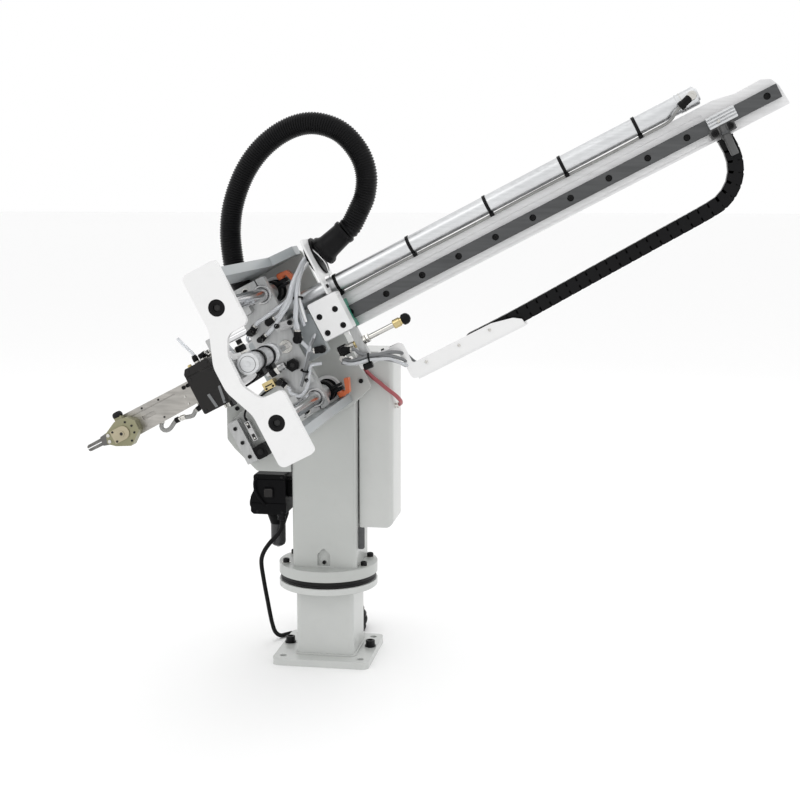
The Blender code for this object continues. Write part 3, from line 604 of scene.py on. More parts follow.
# weld bead round the foot of the post
bead = [Vector((x, y, BASE_T + 0.6)) for x, y in fillet([(-POST_W / 2 + 2.2, -POST_W / 2 - 0.8), (POST_W / 2 + 3.8, -POST_W / 2 - 0.8), (POST_W / 2 + 3.8, POST_W / 2 + 0.8), (-POST_W / 2 + 2.2, POST_W / 2 + 0.8)], 7, 6)]
bead.append(bead[0].copy())
bead, _ = resample(bead, 1.6)
add("base", "paint", sweep_bm(bead, lambda i: 2.4 + 0.22 * math.sin(i * 1.9) + 0.12 * math.sin(i * 0.7), 10), WORLD)
for side, bx in (("left", -SIDE_BOLT_X), ("right", SIDE_BOLT_X)):
    piece("base_bolt_" + side, lathe_bm([(0, 0.5), (5, 0.5), (5, BASE_T + 0.4), (9, BASE_T + 0.4), (9, BASE_T + 2.2), (7.4, BASE_T + 2.4), (7.4, BASE_T + 10), (6.8, BASE_T + 10.6), (4.2, BASE_T + 10.6), (3.9, BASE_T + 6), (0, BASE_T + 6)], 40, centre=(bx, SIDE_BOLT_Y, 0)), "black", bevel=0.2)
z0 = z_low + 0.4
R1 = FLANGE_R - 2.2
piece("swivel_ring", lathe_bm([(34, z0), (R1 - 0.6, z0), (R1, z0 + 0.6), (R1, z0 + 3.6), (R1 - 1.2, z0 + 4.0), (R1 - 1.2, z0 + 6.0), (R1, z0 + 6.4), (R1, z0 + RING_T - 0.6), (R1 - 0.6, z0 + RING_T), (34, z0 + RING_T)], 128), "black", bevel=0.2)

# ======================= column =======================
z_up = z0 + RING_T + 0.4
z_fl = z_up + UP_FLANGE_T
col = piece("column", rod_bm(z_up, z_fl, FLANGE_R, 128, ch=0.6), "paint", bevel=0.9, seg=3)
join(col, prism_bm(fillet([(COL_X0, -COL_D), (COL_X1, -COL_D), (COL_X1, COL_D), (COL_X0, COL_D)], 6), z_up + 5, COL_TOP, "xy"))
cut(col, prism_bm([(COL_X0 + 7, -COL_D + 7), (COL_X1 - 7, -COL_D + 7), (COL_X1 - 7, COL_D - 7), (COL_X0 + 7, COL_D - 7)], z_fl + 14, COL_TOP + 5, "xy"))
cut(col, prism_bm(fillet([(-7, z_fl + 3), (13, z_fl + 3), (13, 176), (3, 187), (-7, 176)], [0, 0, 5, 3, 5]), -COL_D - 3, -COL_D + 5, "xz"))
# low groove of the tube's edge on the right of its front face
cut(col, box_bm(COL_X1 - 4.2, COL_X1 - 3.2, -COL_D - 1, -COL_D + 0.7, 190, COL_TOP - 4))
for a in (-24, 24, 156, 204):
    cap_screw("column", (68.5 * math.cos(math.radians(a)), 68.5 * math.sin(math.radians(a)), z_fl), (0, 0, 1), 5.2, 6.5, fr=WORLD, washer=True)
for a in (66, 114):
    cap_screw("column", (68.5 * math.cos(math.radians(a)), 68.5 * math.sin(math.radians(a)), z_fl), (0, 0, 1), 4.2, 2.4, fr=WORLD)
cap_screw("column", (3, -COL_D + 5, 162.6), (0, -1, 0), 3.0, 3.0, fr=WORLD)
hous = [(PIVOT_X - 50, COL_TOP + 0.4), (COL_X1, COL_TOP + 0.4), (COL_X1, PIVOT_Z - 30)] + [(PIVOT_X + 50 * math.cos(math.radians(a)), PIVOT_Z + 50 * math.sin(math.radians(a))) for a in range(0, 181, 5)]
h = piece("swing_housing", prism_bm(hous, -49, 49), "paint", bevel=1.2, seg=3)
cut(h, rod_bm(-60, 60, 25, 64, "y", (PIVOT_X, 0, PIVOT_Z)))
for a in (30, 90, 150, 210, 270, 330):
    cap_screw("column", (PIVOT_X + 40 * math.cos(math.radians(a)), 49, PIVOT_Z + 40 * math.sin(math.radians(a))), (0, 1, 0), 4.0, 4.0, fr=WORLD)
br = piece("swing_bracket", prism_bm(fillet([(-149, 420), (-149, 355), (-137, 340), (-102, 306), (-48, 306), (-48, 420)], [8, 8, 8, 8, 0, 0]), -50, -42), "paint", bevel=0.8)
join(br, prism_bm([(-57, -45), (-47.5, -45), (-47.5, 30), (-57, 30)], 306, 420, "xy"))
for zz in (322, 362, 402):
    for yy in (-22, 16):
        cap_screw("column", (-57, yy, zz), (-1, 0, 0), 4.5, 5, fr=WORLD, washer=True)
for xx, zz in ((-132, 404), (-132, 366), (-96, 404)):
    cap_screw("column", (xx, -50, zz), (0, -1, 0), 3.4, 3.0, fr=WORLD)
cov = piece("valve_cover", prism_bm(fillet([(57, -35), (110.5, -35), (110.5, 48), (57, 48)], [2, 8, 8, 2]), 219, 495, "xy"), "coverpaint", bevel=1.6, seg=3)
cut(cov, prism_bm([(50, -32), (107.5, -32), (107.5, 45), (50, 45)], 222, 492, "xy"))
cut(cov, prism_bm([(98.5, 218.4), (111.5, 218.4), (111.5, 231)] + [(98.5 + 12 * math.cos(math.radians(a)), 231 + 12 * math.sin(math.radians(a))) for a in range(0, -91, -10)], -40, 52, "xz"))
for zz in (240, 474):
    cap_screw("column", (84, 48, zz), (0, 1, 0), 2.8, 1.6, "nickel", WORLD)
# red air line from the swing housing to the valve box, across the cover's front and round its edge
stick("column", "nickel", (55, -43, 476), (1, 0, -0.3), [(0, 0), (4.6, 0), (4.6, 3), (4.0, 4), (4.0, 6), (0, 6)], 24, WORLD)
soft_tube("column", [(60, -43, 473.6), (70.1, -43, 466), (80.9, -43, 456.2), (91.8, -43, 447.9), (101.1, -43.5, 440.4), (110.4, -43.2, 433.7), (117, -40, 427.6), (121, -33, 421), (121.5, -25, 416), (118.6, -18.6, 412.4), (114.4, -16.4, 411)], 3.2, "redtube", WORLD)
stick("column", "nickel", (110.5, -16, 410.6), (1, 0, 0), [(0, 0), (5.4, 0), (5.4, 2), (4.6, 3), (4.6, 6.4), (0, 6.4)], 24, WORLD)
# angle that holds the cover's foot to the column
add("column", "darksteel", prism_bm(fillet([(55.3, 183), (65, 183), (65, 217.5), (55.3, 217.5)], [2, 4, 2, 2]), -34, -31), WORLD)
add("column", "steel", box_bm(55.2, 58.2, -31.2, -8, 183, 217.5), WORLD)
for yy in (-24, -14):
    cap_screw("column", (58.2, yy, 200), (1, 0, 0), 2.6, 2.4, fr=WORLD)

# filter-regulator
fb = piece("filter_body", prism_bm(fillet([(-109.5, 300), (-109.5, 274), (-114.5, 264), (-114.5, 240), (-110, 236), (-58, 236), (-58, 300)], [4, 6, 6, 2, 2, 3, 4]), -46, 8, "xz"), "matblack", bevel=2.2, seg=4)
join(fb, box_bm(-60, -47.4, -30, -5, 262, 290))
for zz in (254, 292):
    cut(fb, box_bm(-120, -56, -50, -44.8, zz - 0.5, zz + 0.5))
    cut(fb, box_bm(-120, -56, 6.8, 12, zz - 0.5, zz + 0.5))
# small square gauge, its glass and rim
add("column", "matblack", prism_bm(fillet([(-93, 263), (-77, 263), (-77, 279), (-93, 279)], 3), -49.2, -45.9), WORLD)
add("column", "boxblack", prism_bm(fillet([(-91.4, 264.6), (-78.6, 264.6), (-78.6, 277.4), (-91.4, 277.4)], 2), -49.7, -49.1), WORLD)
for xx, zz in ((-104, 295.8), (-64, 295.8), (-104, 240.5), (-64, 240.5)):
    cap_screw("column", (xx, -46, zz), (0, -1, 0), 2.0, 0.9, fr=WORLD)
for yy in (-34, -4):
    stick("column", "matblack", (-114.2, yy, 252), (-1, 0, 0), [(0, 0), (7.6, 0), (7.6, 1.0), (6.8, 1.6), (6.8, 3.2), (3.0, 3.4), (0, 3.4)], 32, WORLD)
soft_tube("column", [(-104, -47.4, 297), (-107, -49.2, 288), (-106, -50, 276), (-101, -50, 265), (-95, -49, 257), (-92, -47, 253.5), (-91, -44.5, 252)], 2.0, "matblack", WORLD)
soft_tube("column", [(-100, 6, 250), (-100, 14, 250), (-100, 24, 256), (-96, 30, 274), (-84, 34, 298), (-66, 36, 314), (-54, 37, 318), (-46.8, 37, 318)], 2.6, "greytube", WORLD)
bowl = [(0, 175), (3.0, 175), (3.4, 177.4), (7, 176.8), (10.4, 179.2), (12, 184), (12, 213.4), (0, 213.4)]
piece("filter_bowl", lathe_bm(bowl, 48, centre=(-80.4, -6, 0)), "bowl", bevel=0.2)
stick("column", "matblack", (-80.4, -6, 0), (0, 0, 1), [(0, 213.6), (12.4, 213.6), (12.6, 215), (16.2, 225.4), (16.5, 227), (16.5, 235.4), (0, 235.4)], 48, WORLD)
for k in range(18):
    a = 2 * math.pi * k / 18
    add("column", "matblack", box_bm(-0.5, 0.6, -0.8, 0.8, 227.6, 234.8), Matrix.Translation((-80.4 + 16.6 * math.cos(a), -6 + 16.6 * math.sin(a), 0)) @ Matrix.Rotation(a, 4, "Z"))

# ======================= control cable =======================
GLAND_X, GLAND_Y = -67.0, -36.0
gland = lathe_bm([(0, 235.6), (7.2, 235.6), (7.2, 232.4), (6.2, 231.4), (6.2, 229.6), (6.8, 229.0), (6.6, 227.0), (4.6, 226.0), (3.6, 226), (3.6, 229), (0, 229)], 36, centre=(GLAND_X, GLAND_Y, 0))
gl_ob = piece("cable_gland", gland, "plastic", bevel=0.2)
CABLE_R = 3.5
COIL_X, COIL_Y = -8.0, 128.0
ROUTE = [(GLAND_X, GLAND_Y, 225.6), (GLAND_X, -36, 215), (-71.5, -36, 205), (-79.5, -36, 196), (-89, -34, 185), (-98, -30, 172), (-104, -24, 158), (-106.2, -16, 143), (-106.4, -7, 124.7), (-106.2, 4, 101.6), (-105.8, 16, 77.9), (-105.2, 27, 54.3), (-104, 36.5, 33), (-101.2, 45, 15.5), (-95.5, 56, 5.6), (-88.5, 67, 4.1), (-79.5, 77, 4.1), (-67.5, 83.6, 4.1), (-51, 85.5, 4.1), (-33.4, 85.5, 4.1)]


def coil_points():
    """Four flat layers of two turns, wound in and out by turns, and a last turn laid on top that ends at the plug."""
    out = []
    r_out, r_in, lift = 42.75, 28.25, 7.1
    a = -90.0
    z = 4.1
    step = 15.0
    for layer in range(4):
        r0, r1 = (r_out, r_in) if layer % 2 == 0 else (r_in, r_out)
        n = int(720 / step)
        for k in range(n):
            out.append((a, r0 + (r1 - r0) * k / n, z))
            a += step
        n = int(60 / step)
        for k in range(n):
            t = k / n
            out.append((a, r1, z + lift * t * t * (3 - 2 * t)))
            a += step
        z += lift
    n = int(300 / step)
    for k in range(n - 2):
        t = k / n
        out.append((a, r_out - 7.25 * t, z + 4.1 * t))
        a += step
    pts = [Vector((COIL_X + r * math.cos(math.radians(q)), COIL_Y + r * math.sin(math.radians(q)), h)) for q, r, h in out]
    pts += [Vector((-1.5, COIL_Y + 35.6, 36.5)), Vector((-8, COIL_Y + 35.5, 36.6)), Vector((-14.2, COIL_Y + 35.5, 36.6))]
    return pts


cable_path = smooth_path([Vector(p) for p in ROUTE] + coil_points(), 5)
cable_path, cable_len = resample(cable_path, 2.6)
cable = piece("control_cable", sweep_bm(cable_path, CABLE_R, 16), "rubber", WORLD, "later", rep=("cable_coil",), bevel=0)
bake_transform(cable)
print("control cable length, mm:", round(cable_len, 1))
plug = lathe_bm([(0, -50), (5.6, -50), (5.6, -49.2), (6.4, -49.2), (7, -48.2), (7, -44.5), (6.6, -44.2), (6.6, -43.4), (7, -43.1), (7, -30), (6.2, -29), (6.2, -22), (5.2, -20), (5.2, -19), (5.0, -18.6), (5.0, -17.6), (4.6, -17.2), (4.6, -14.3), (3.7, -14.3), (3.7, -20), (0, -20)], 40, "x", (0, COIL_Y + 35.5, 36.6))
plug_ob = piece("cable_plug", plug, "plastic", bevel=0.15)
for k in range(16):
    a = 2 * math.pi * k / 16
    add("base", "plastic", box_bm(-42.6, -31.0, -0.45, 0.45, 6.7, 7.25), Matrix.Translation((0, COIL_Y + 35.5, 36.6)) @ Matrix.Rotation(a, 4, "X"))
for k in range(5):
    a = 2 * math.pi * k / 5
    add("base", "brass", rod_bm(-50.9, -49.6, 0.7, 12, "x", (0, COIL_Y + 35.5 + 2.8 * math.cos(a), 36.6 + 2.8 * math.sin(a))), WORLD)
# ties round the coil, under and over its turns
for a in (-150, -20, 100):
    q = Matrix.Translation((COIL_X, COIL_Y, 0)) @ Matrix.Rotation(math.radians(a), 4, "Z")
    zt = 37.2 if a != -150 else 29.6
    zt = 29.6 if a == -20 else 31.0
    loop = [(r, 0, z) for r, z in fillet([(24.2, 0.35), (46.8, 0.35), (46.8, 37.6), (24.2, 37.6)], 3, 5)]
    path = [Vector(p) for p in loop]
    path.append(path[0].copy())
    path, _ = resample(path, 2.0)
    own = bmesh.new()
    fr3 = []
    for p in path[:-1]:
        ring = []
        m = Vector((35.5, 0, 18))
        o = (p - m).normalized()
        for dy, dr in ((-1.8, 0), (1.8, 0), (1.8, 0.9), (-1.8, 0.9)):
            ring.append(own.verts.new(p + Vector((0, dy, 0)) + Vector((o.x, 0, max(o.z, -0.0))) * dr))
        fr3.append(ring)
    for i in range(len(fr3)):
        A, B = fr3[i], fr3[(i + 1) % len(fr3)]
        for k in range(4):
            j = (k + 1) % 4
            own.faces.new((A[k], A[j], B[j], B[k]))
    add("base", "plastic", own, q)

# ======================= swinging head =======================
piv = (PIVOT_X, 0, PIVOT_Z)
piece("swing_shaft", lathe_bm([(0, REAR_Y1 + 0.4), (24.4, REAR_Y1 + 0.4), (24.4, 50), (36, 50), (36, 57), (28, 57.6), (27, 60), (15, 60), (15, 63.6), (14.4, 64), (0, 64)], 72, "y", piv), "steel", bevel=0.4)
for k in range(6):
    a = math.radians(60 * k + 12)
    cap_screw("head", (PIVOT_X + 31.5 * math.cos(a), 57.3, PIVOT_Z + 31.5 * math.sin(a)), (0, 1, 0), 2.6, 2.6, fr=WORLD)
rear = [(-62, 124), (62, 124), (62, -112), (20, -124), (-62, -124), (-90, -135), (-167, -135), (-167, -62), (-120, -50), (-62, -30)]
rp = piece("rear_plate", prism_bm(fillet(rear, [8, 8, 8, 8, 0, 8, 8, 8, 0, 8]), REAR_Y0, REAR_Y1), "paint", ARM, bevel=0.7)
piece("top_plate", prism_bm([(-22, FRONT_Y + FRONT_T + 0.4), (27, FRONT_Y + FRONT_T + 0.4), (27, -120), (60, -95), (60, REAR_Y0 - 0.4), (-22, REAR_Y0 - 0.4)], 116, 130, "xy"), "greypaint", ARM, bevel=0.7)
piece("bottom_plate", box_bm(-22, 27, FRONT_Y + FRONT_T + 0.4, REAR_Y0 - 0.4, -118, -105), "greypaint", ARM, bevel=0.7)
lobe = [(-24, 141), (28, 141), (28, 48), (-4, 47), (-17, 22), (-18, -22), (-4, -47), (28, -48), (28, -141), (-24, -141), (-24, -62), (-41.5, -18), (-41.5, 18), (-24, 62)]
fp = piece("front_plate", prism_bm(fillet(lobe, [8, 6, 8, 14, 24, 24, 14, 8, 7, 9, 30, 40, 40, 30], 10), FRONT_Y, FRONT_Y + FRONT_T), "white", ARM, bevel=0.9, seg=3)
for k, w in (("upper", ROD_W), ("lower", -ROD_W)):
    cut(fp, rod_bm(FRONT_Y - 2, FRONT_Y + FRONT_T + 2, 11.4, 48, "y", (0, 0, w)), ARM)
    y = FRONT_Y
    piece("rod_cap_" + k, lathe_bm([(0, y + 3.5), (4.6, y + 3.5), (5, y + 1.0), (6.4, y + 1.0), (6.8, y + 0.2), (10.2, y + 0.2), (11, y + 1.0), (11, y + 9.4), (0, y + 9.4)], 48, "y", (0, 0, w)), "plastic", ARM, bevel=0.2)
    # dark hexagon at the bottom of the cap's recess: painted shade standing in for a socket
    stick("head", "dark", (0, y + 3.4, w), (0, -1, 0), [(0, 0), (4.5, 0), (4.5, 0.3), (0, 0.3)], 6)
    piece("guide_rod_" + k, rod_bm(FRONT_Y + FRONT_T + 0.2, REAR_Y0 - 0.4, ROD_R, 72, "y", (0, 0, w), 0.8), "chrome", ARM, bevel=0)
    sgn = 1 if w > 0 else -1
    cl = piece("stop_collar_" + k, ring_bm(-96, -84, 10.4, 16.5, 64, "y", (0, 0, w)), "black", ARM, bevel=0.4)
    join(cl, box_bm(11.5, 29.5, -96, -84, w - 5.5 + sgn * 4, w + 5.5 + sgn * 4), ARM)
    cut(cl, box_bm(9, 31, -97, -83, w - 0.6 + sgn * 3.4, w + 0.6 + sgn * 3.4), ARM)
    # white ring on the rear plate behind each rod, and the rod's seat behind it
    stick("head", "white", (0, REAR_Y0, w), (0, -1, 0), [(16.8, 0.02), (21.5, 0.02), (21.5, 5.6), (20.9, 6.2), (17.4, 6.2), (16.8, 5.6)], 72)
    stick("head", "rubber", (0, REAR_Y0, w), (0, -1, 0), [(10.2, 0.02), (16.6, 0.02), (16.6, 3.4), (14.2, 4.4), (10.2, 4.4)], 72)
    # flanged seat of the rod behind the front plate
    stick("head", "alu_plate", (0, FRONT_Y + FRONT_T, w), (0, 1, 0), [(10.4, 0.05), (19, 0.05), (19, 5.4), (18.4, 6), (15.2, 6), (14.6, 6.8), (14.6, 15.4), (14, 16), (10.4, 16)], 64)
    for a in (45, 135, 225, 315):
        q = (16.9 * math.cos(math.radians(a)), FRONT_Y + FRONT_T + 6, w + 16.9 * math.sin(math.radians(a)))
        cap_screw("head", q, (0, 1, 0), 1.8, 1.8)
    # screws through the front plate into the top and bottom plates
    for uu in (-10, 14):
        cap_screw("head", (uu, REAR_Y1, 122 * sgn if sgn > 0 else -112), (0, 1, 0), 4.0, 3.6)
for uu, ww in ((-52, 100), (52, 100), (52, -96), (-52, -104), (-150, -122), (-150, -76)):
    cap_screw("head", (uu, REAR_Y0, ww), (0, -1, 0), 3.4, 3.0)
for uu in (-10, 16):
    for yy in (-340, -240, -170):
        cap_screw("head", (uu, yy, 130), (0, 0, 1), 3.0, 2.6)

ch = prism_bm([(-163, -82), (-145, -82), (-145, -77), (-158, -77), (-158, -67), (-145, -67), (-145, -62.4), (-163, -62.4)], -132, -62, "xy")
piece("stop_channel", ch, "alu_plate", ARM, bevel=0.5)
for ww in (-122, -98, -74):
    cap_screw("head", (-154, -82, ww), (0, -1, 0), 3.0, 2.4)
bmp = piece("swing_bumper", prism_bm(fillet([(-143, -133), (-124, -133), (-124, -112), (-143, -112)], 4), -86, -62.4), "rubber", ARM, bevel=1.2, seg=3)
for yy in (-80.5, -76, -71.5, -67):
    cut(bmp, box_bm(-145, -122, yy - 0.5, yy + 0.5, -135, -132.2), ARM)
stick("head", "black", (-133.5, -86, -122.5), (0, -1, 0), [(0, 0), (4.6, 0), (4.6, 2.4), (2.2, 3.2), (0, 3.2)], 32)
# sensor bar along the swing stop
add("head", "steel", box_bm(-138.5, -130.5, -78, -68, -104, -72))
for ww in (-98, -78):
    add("head", "dark", box_bm(-137, -132, -78.3, -77.9, ww - 5, ww + 5))
for ww in (-100, -76):
    cap_screw("head", (-134.5, -78, ww), (0, -1, 0), 1.8, 1.6, "nickel")
soft_tube("head", [(-134.5, -73, -71.8), (-134.5, -73, -64), (-128, -72, -56), (-112, -70, -52), (-92, -68, -46), (-76, -66, -44)], 1.7, "plastic")

kb = piece("kick_bracket", prism_bm(fillet([(-39, -17), (-19.8, -17), (-19.8, 20), (-39, 20)], 3), FRONT_Y + FRONT_T + 0.4, -360), "alu_plate", ARM, bevel=0.5)
join(kb, box_bm(-30, -19.8, -362, -334, -12, 15), ARM)
for ww in (-11, 14):
    cap_screw("head", (-33, -360, ww), (0, 1, 0), 3.0, 2.6)
KC = (KICK_U, 0, KICK_W)
kc = [(0, -359.0), (3.2, -359.0), (3.6, -359.6), (14.2, -359.6), (15, -358.8), (15, -340.6), (14.4, -340), (13.4, -340), (13.0, -339), (13, -250), (13.4, -249), (14.4, -249), (15, -248.4), (15, -235), (13.6, -234), (13.6, -232.8), (12, -232), (6.2, -232), (6.2, -353), (0, -353)]
piece("kick_cylinder", lathe_bm(kc, 72, "y", KC), "alu", ARM, bevel=0.25)
stick("head", "dark", (KICK_U, -359.7, KICK_W), (0, -1, 0), [(10.4, -0.1), (11.0, -0.1), (11.0, 0.1), (10.4, 0.1)], 48)
for yy in (-318, -268):
    stick("head", "plastic", (KICK_U, yy, KICK_W), (0, 1, 0), [(13.1, -3.2), (14.8, -3.2), (14.8, 3.2), (13.1, 3.2)], 48)
    add("head", "plastic", box_bm(KICK_U - 5, KICK_U + 5, yy - 10, yy + 8, KICK_W - 21, KICK_W - 13.4))
    soft_tube("head", [(KICK_U, yy - 9, KICK_W - 17.5), (KICK_U - 1, yy - 16, KICK_W - 18.5), (-8, yy - 26, -20), (-16, -344 + (yy + 318) * 0.1, -22), (-24, -356, -23), (-28, -366, -23.5)], 1.6, "plastic")
e1, d1 = speed_controller("head", (KICK_U, -347, KICK_W + 15), (0, 0, 1), (-1, 0.2, 0.1))
e2, d2 = speed_controller("head", (KICK_U - 15, -244, KICK_W), (-1, 0, 0), (0.1, -1, 0.25))
add("head", "alu_plate", prism_bm(fillet([(-38, 26), (-20, 26), (-20, 54), (-38, 54)], 2), -369.7, -356))
for q, (ee, dd, ww) in enumerate(((e1, d1, 46), (e2, d2, 33))):
    stick("head", "nickel", (-29, -356, ww), (0, 1, 0), [(0, 0), (4.2, 0), (4.2, 3), (3.6, 4), (3.6, 7), (0, 7)], 24)
soft_tube("head", [e1, e1 + d1 * 6, (-24, -342, 44), (-29, -343, 46), (-29, -349.5, 46)], 2.6, "clear")
soft_tube("head", [e2, e2 + d2 * 8, (-40, -276, 8), (-39, -305, 18), (-33, -330, 30), (-29, -342, 33), (-29, -349.5, 33)], 2.6, "clear")
# block of fittings on the rear plate, below the rod, where the air comes to the head
add("head", "alu_plate", prism_bm(fillet([(-60, 12), (-34, 12), (-34, 56), (-60, 56)], 2), -86, -62.1))
for ww in (20, 34, 48):
    e, d = fitting("head", (-46, -86, ww), (0, -1, 0), 1.0, straight=True)
    soft_tube("head", [e, e + d * 5, (-52, -116, ww - 3), (-60, -114, ww - 8), (-66, -100, ww - 12), (-68, -80, ww - 14), (-68, -62.2, ww - 14)], 2.6, "clear")

for k, w, sgn in (("upper", ROD_W, 1), ("lower", -ROD_W, -1)):
    u0, wl = 23.0, w + sgn * 4
    prof = [(0, wl + sgn * 6.0), (5.6, wl + sgn * 6.0), (6.4, wl + sgn * 8.0), (6.4, wl + sgn * 13.5), (5.0, wl + sgn * 15.5), (3.0, wl + sgn * 15.5), (2.6, wl + sgn * 14.6), (0, wl + sgn * 14.6)]
    lv = piece("clamp_lever_" + k, lathe_bm(prof, 48, "z", (u0, -90, 0)), "orange", ARM, bevel=0.9, seg=3)
    join(lv, prism_bm(fillet([(u0 - 4, wl + sgn * 8.5), (u0 + 9, wl + sgn * 8.5), (u0 + 15, wl - sgn * 9), (u0 + 22, wl - sgn * 6), (u0 + 13, wl + sgn * 14.5), (u0 - 4, wl + sgn * 14.5)], 2), -96.5, -83.5), ARM)
    lever = "lever_" + k
    stick(lever, "black", (u0, -90, wl + sgn * 14.5), (0, 0, sgn), [(0, 0), (2.5, 0), (2.5, 0.9), (1.4, 1.0), (1.4, 0.3), (0, 0.3)], 24)

# ======================= carriage =======================
cpl = piece("carriage_plate", prism_bm(fillet([(-62, -103), (14.5, -103), (14.5, 108), (-62, 108), (-62, 70), (-46, 60), (-46, -60), (-62, -68)], [6, 4, 4, 6, 3, 3, 3, 3]), CARR_Y0, CARR_Y1), "alu_plate", ARM, bevel=0.7)
for k, w in (("upper", ROD_W), ("lower", -ROD_W)):
    sgn = 1 if w > 0 else -1
    cut(cpl, rod_bm(CARR_Y0 - 3, CARR_Y1 + 3, ROD_R + 0.6, 64, "y", (0, 0, w)), ARM)
    # clamp slot beside the rod and its cross screw
    cut(cpl, box_bm(-0.9, 0.9, CARR_Y0 - 1, CARR_Y1 + 1, w + sgn * 9, w + sgn * 30), ARM)
    piece("slide_bush_" + k, ring_bm(CARR_Y1 + 0.4, CARR_Y1 + 30, ROD_R + 0.4, 14.2, 64, "y", (0, 0, w)), "alu", ARM, bevel=0.5)
    stick("carriage", "steel", (0, CARR_Y0, w), (0, -1, 0), [(10.5, 0.02), (14.2, 0.02), (14.2, 2.0), (13.4, 2.6), (11.6, 2.6), (10.5, 1.8)], 64)
    for a in (20, 160, 200, 340):
        cap_screw("carriage", (18.2 * math.cos(math.radians(a)) * (0.62 if abs(a - 180) > 90 else 1.0), CARR_Y0, w + 18.2 * math.sin(math.radians(a))), (0, -1, 0), 2.0, 1.6)
    # square sensor block and bearing cap in front of the plate
    add("carriage", "alu_plate", prism_bm(fillet([(-58, w - 17), (-22, w - 17), (-22, w + 17), (-58, w + 17)], 3), -164, -150.1))
    add("carriage", "plastic", prism_bm(fillet([(-36, w + sgn * 1 - 5.5), (-25, w + sgn * 1 - 5.5), (-25, w + sgn * 1 + 5.5), (-36, w + sgn * 1 + 5.5)], 1), -170, -164))
    for uu, ww in ((-52, w - 11), (-52, w + 11)):
        cap_screw("carriage", (uu, -164, ww), (0, -1, 0), 2.6, 2.4)
piece("kick_rod", rod_bm(-262, CARR_Y0 - 0.4, 5, 40, "y", (KICK_U, 0, KICK_W), 0.6), "chrome", ARM, bevel=0)
stick("carriage", "nickel", (KICK_U, CARR_Y0, KICK_W), (0, -1, 0), [(5.1, 0.02), (10, 0.02), (10, 0.8), (9.6, 1.2), (5.1, 1.2)], 48)
piece("guide_housing", prism_bm(fillet([(-58, -34), (48, -34), (48, 30), (-58, 30)], 4), CARR_Y1 + 0.4, -124.6), "greypaint", ARM, bevel=0.7)
block = [(-124.2, -19), (-99, -19), (-99, -7.7), (-110.7, -7.7), (-110.7, 13.7), (-99, 13.7), (-99, 25), (-124.2, 25)]
piece("guide_block", prism_bm(block, 57, 95, "yz"), "steel", ARM, bevel=0.6)
piece("block_seal", prism_bm(block, 95.4, 98.4, "yz"), "green", ARM, bevel=0.4)
wm = piece("block_mount", prism_bm(fillet([(52, -19), (99, -19), (99, 40), (52, 40)], 3), CARR_Y0, -124.6), "white", ARM, bevel=0.9, seg=3)
join(wm, box_bm(48.4, 54, -134, -124.6, -15, 30), ARM)
for su, sw in ((61, -9), (87, -9), (61, 17), (87, 17)):
    cut(wm, rod_bm(CARR_Y0 - 2, CARR_Y0 + 5, 4.6, 32, "y", (su, 0, sw)), ARM)
    stick("carriage", "black", (su, CARR_Y0 + 4.95, sw), (0, -1, 0), [(0, 0), (4.2, 0), (4.2, 3.4), (3.7, 4.0), (2.3, 4.0), (2.2, 1.6), (0, 1.6)], 32)
ct = piece("cylinder_tube", lathe_bm([(0, 674), (13.2, 674), (CYL_R, 673.2), (CYL_R, 646), (13.2, 645), (13.2, -17), (CYL_R, -18), (CYL_R, -39.2), (13.2, -40), (7, -40), (7, 640), (0, 640)], 96, "x", (0, CYL_Y, CYL_W)), "alu", ARM, bevel=0.3)
for uu in (99, 221, 347, 467, 582):
    stick("carriage", "plastic", (uu, CYL_Y, CYL_W), (1, 0, 0), [(13.3, -2.4), (14.3, -2.4), (14.3, 2.4), (13.3, 2.4)], 64)
    add("carriage", "plastic", box_bm(uu - 3.2, uu + 3.2, CYL_Y - 4, CYL_Y + 3.4, CYL_W - 18.6, CYL_W - 13.2))
air = [(646, CYL_Y - 21, CYL_W - 5.5), (638, CYL_Y - 19, CYL_W - 9), (628, CYL_Y - 10, CYL_W - 15), (616, CYL_Y - 2, CYL_W - 16.4)] + [(u, CYL_Y + 0.5 * math.sin(u * 0.05), CYL_W - 16.4 - 0.5 * math.sin(u * 0.026)) for u in range(600, 40, -40)] + [(30, CYL_Y - 6, CYL_W - 16), (24, CYL_Y - 14, CYL_W - 14), (20, CYL_Y - 16, CYL_W - 6)]
soft_tube("carriage", air, 2.2, "smoketube", per=8)
# end cap fittings of the cylinder
hexagon("carriage", "nickel", (667, CYL_Y - 13.8, CYL_W + 1), (0, -1, 0), 6.6, 0, 3.4)
stick("carriage", "nickel", (667, CYL_Y - 16.8, CYL_W + 1), (0, -1, 0), [(0, 0), (6.2, 0), (6.6, 1), (6.6, 7), (5.8, 8), (3.0, 8), (2.8, 6.6), (0, 6.6)], 40)
stick("carriage", "plastic", (662, CYL_Y - 21, CYL_W - 0.4), (-1, 0, -0.32), [(0, -2), (4.8, -2), (5.6, -1), (5.6, 10), (6.4, 11), (6.4, 16), (5.4, 17), (0, 17)], 32)
stick("carriage", "nickel", (652, CYL_Y, CYL_W), (1, 0, 0), [(14.05, -0.5), (14.6, -0.5), (14.6, 0.5), (14.05, 0.5)], 64)
stick("carriage", "alu", (674, CYL_Y, CYL_W), (1, 0, 0), [(0, 0.05), (9.2, 0.05), (9.2, 2), (8.4, 2.8), (0, 2.8)], 40)
fitting("carriage", (-28, CYL_Y - 13.6, CYL_W), (0, -1, 0), 0.9, side=(0.4, 0, -1))
for uu in (-34, -24):
    stick("carriage", "nickel", (uu, CYL_Y, CYL_W), (1, 0, 0), [(14.05, -0.5), (14.5, -0.5), (14.5, 0.5), (14.05, 0.5)], 64)
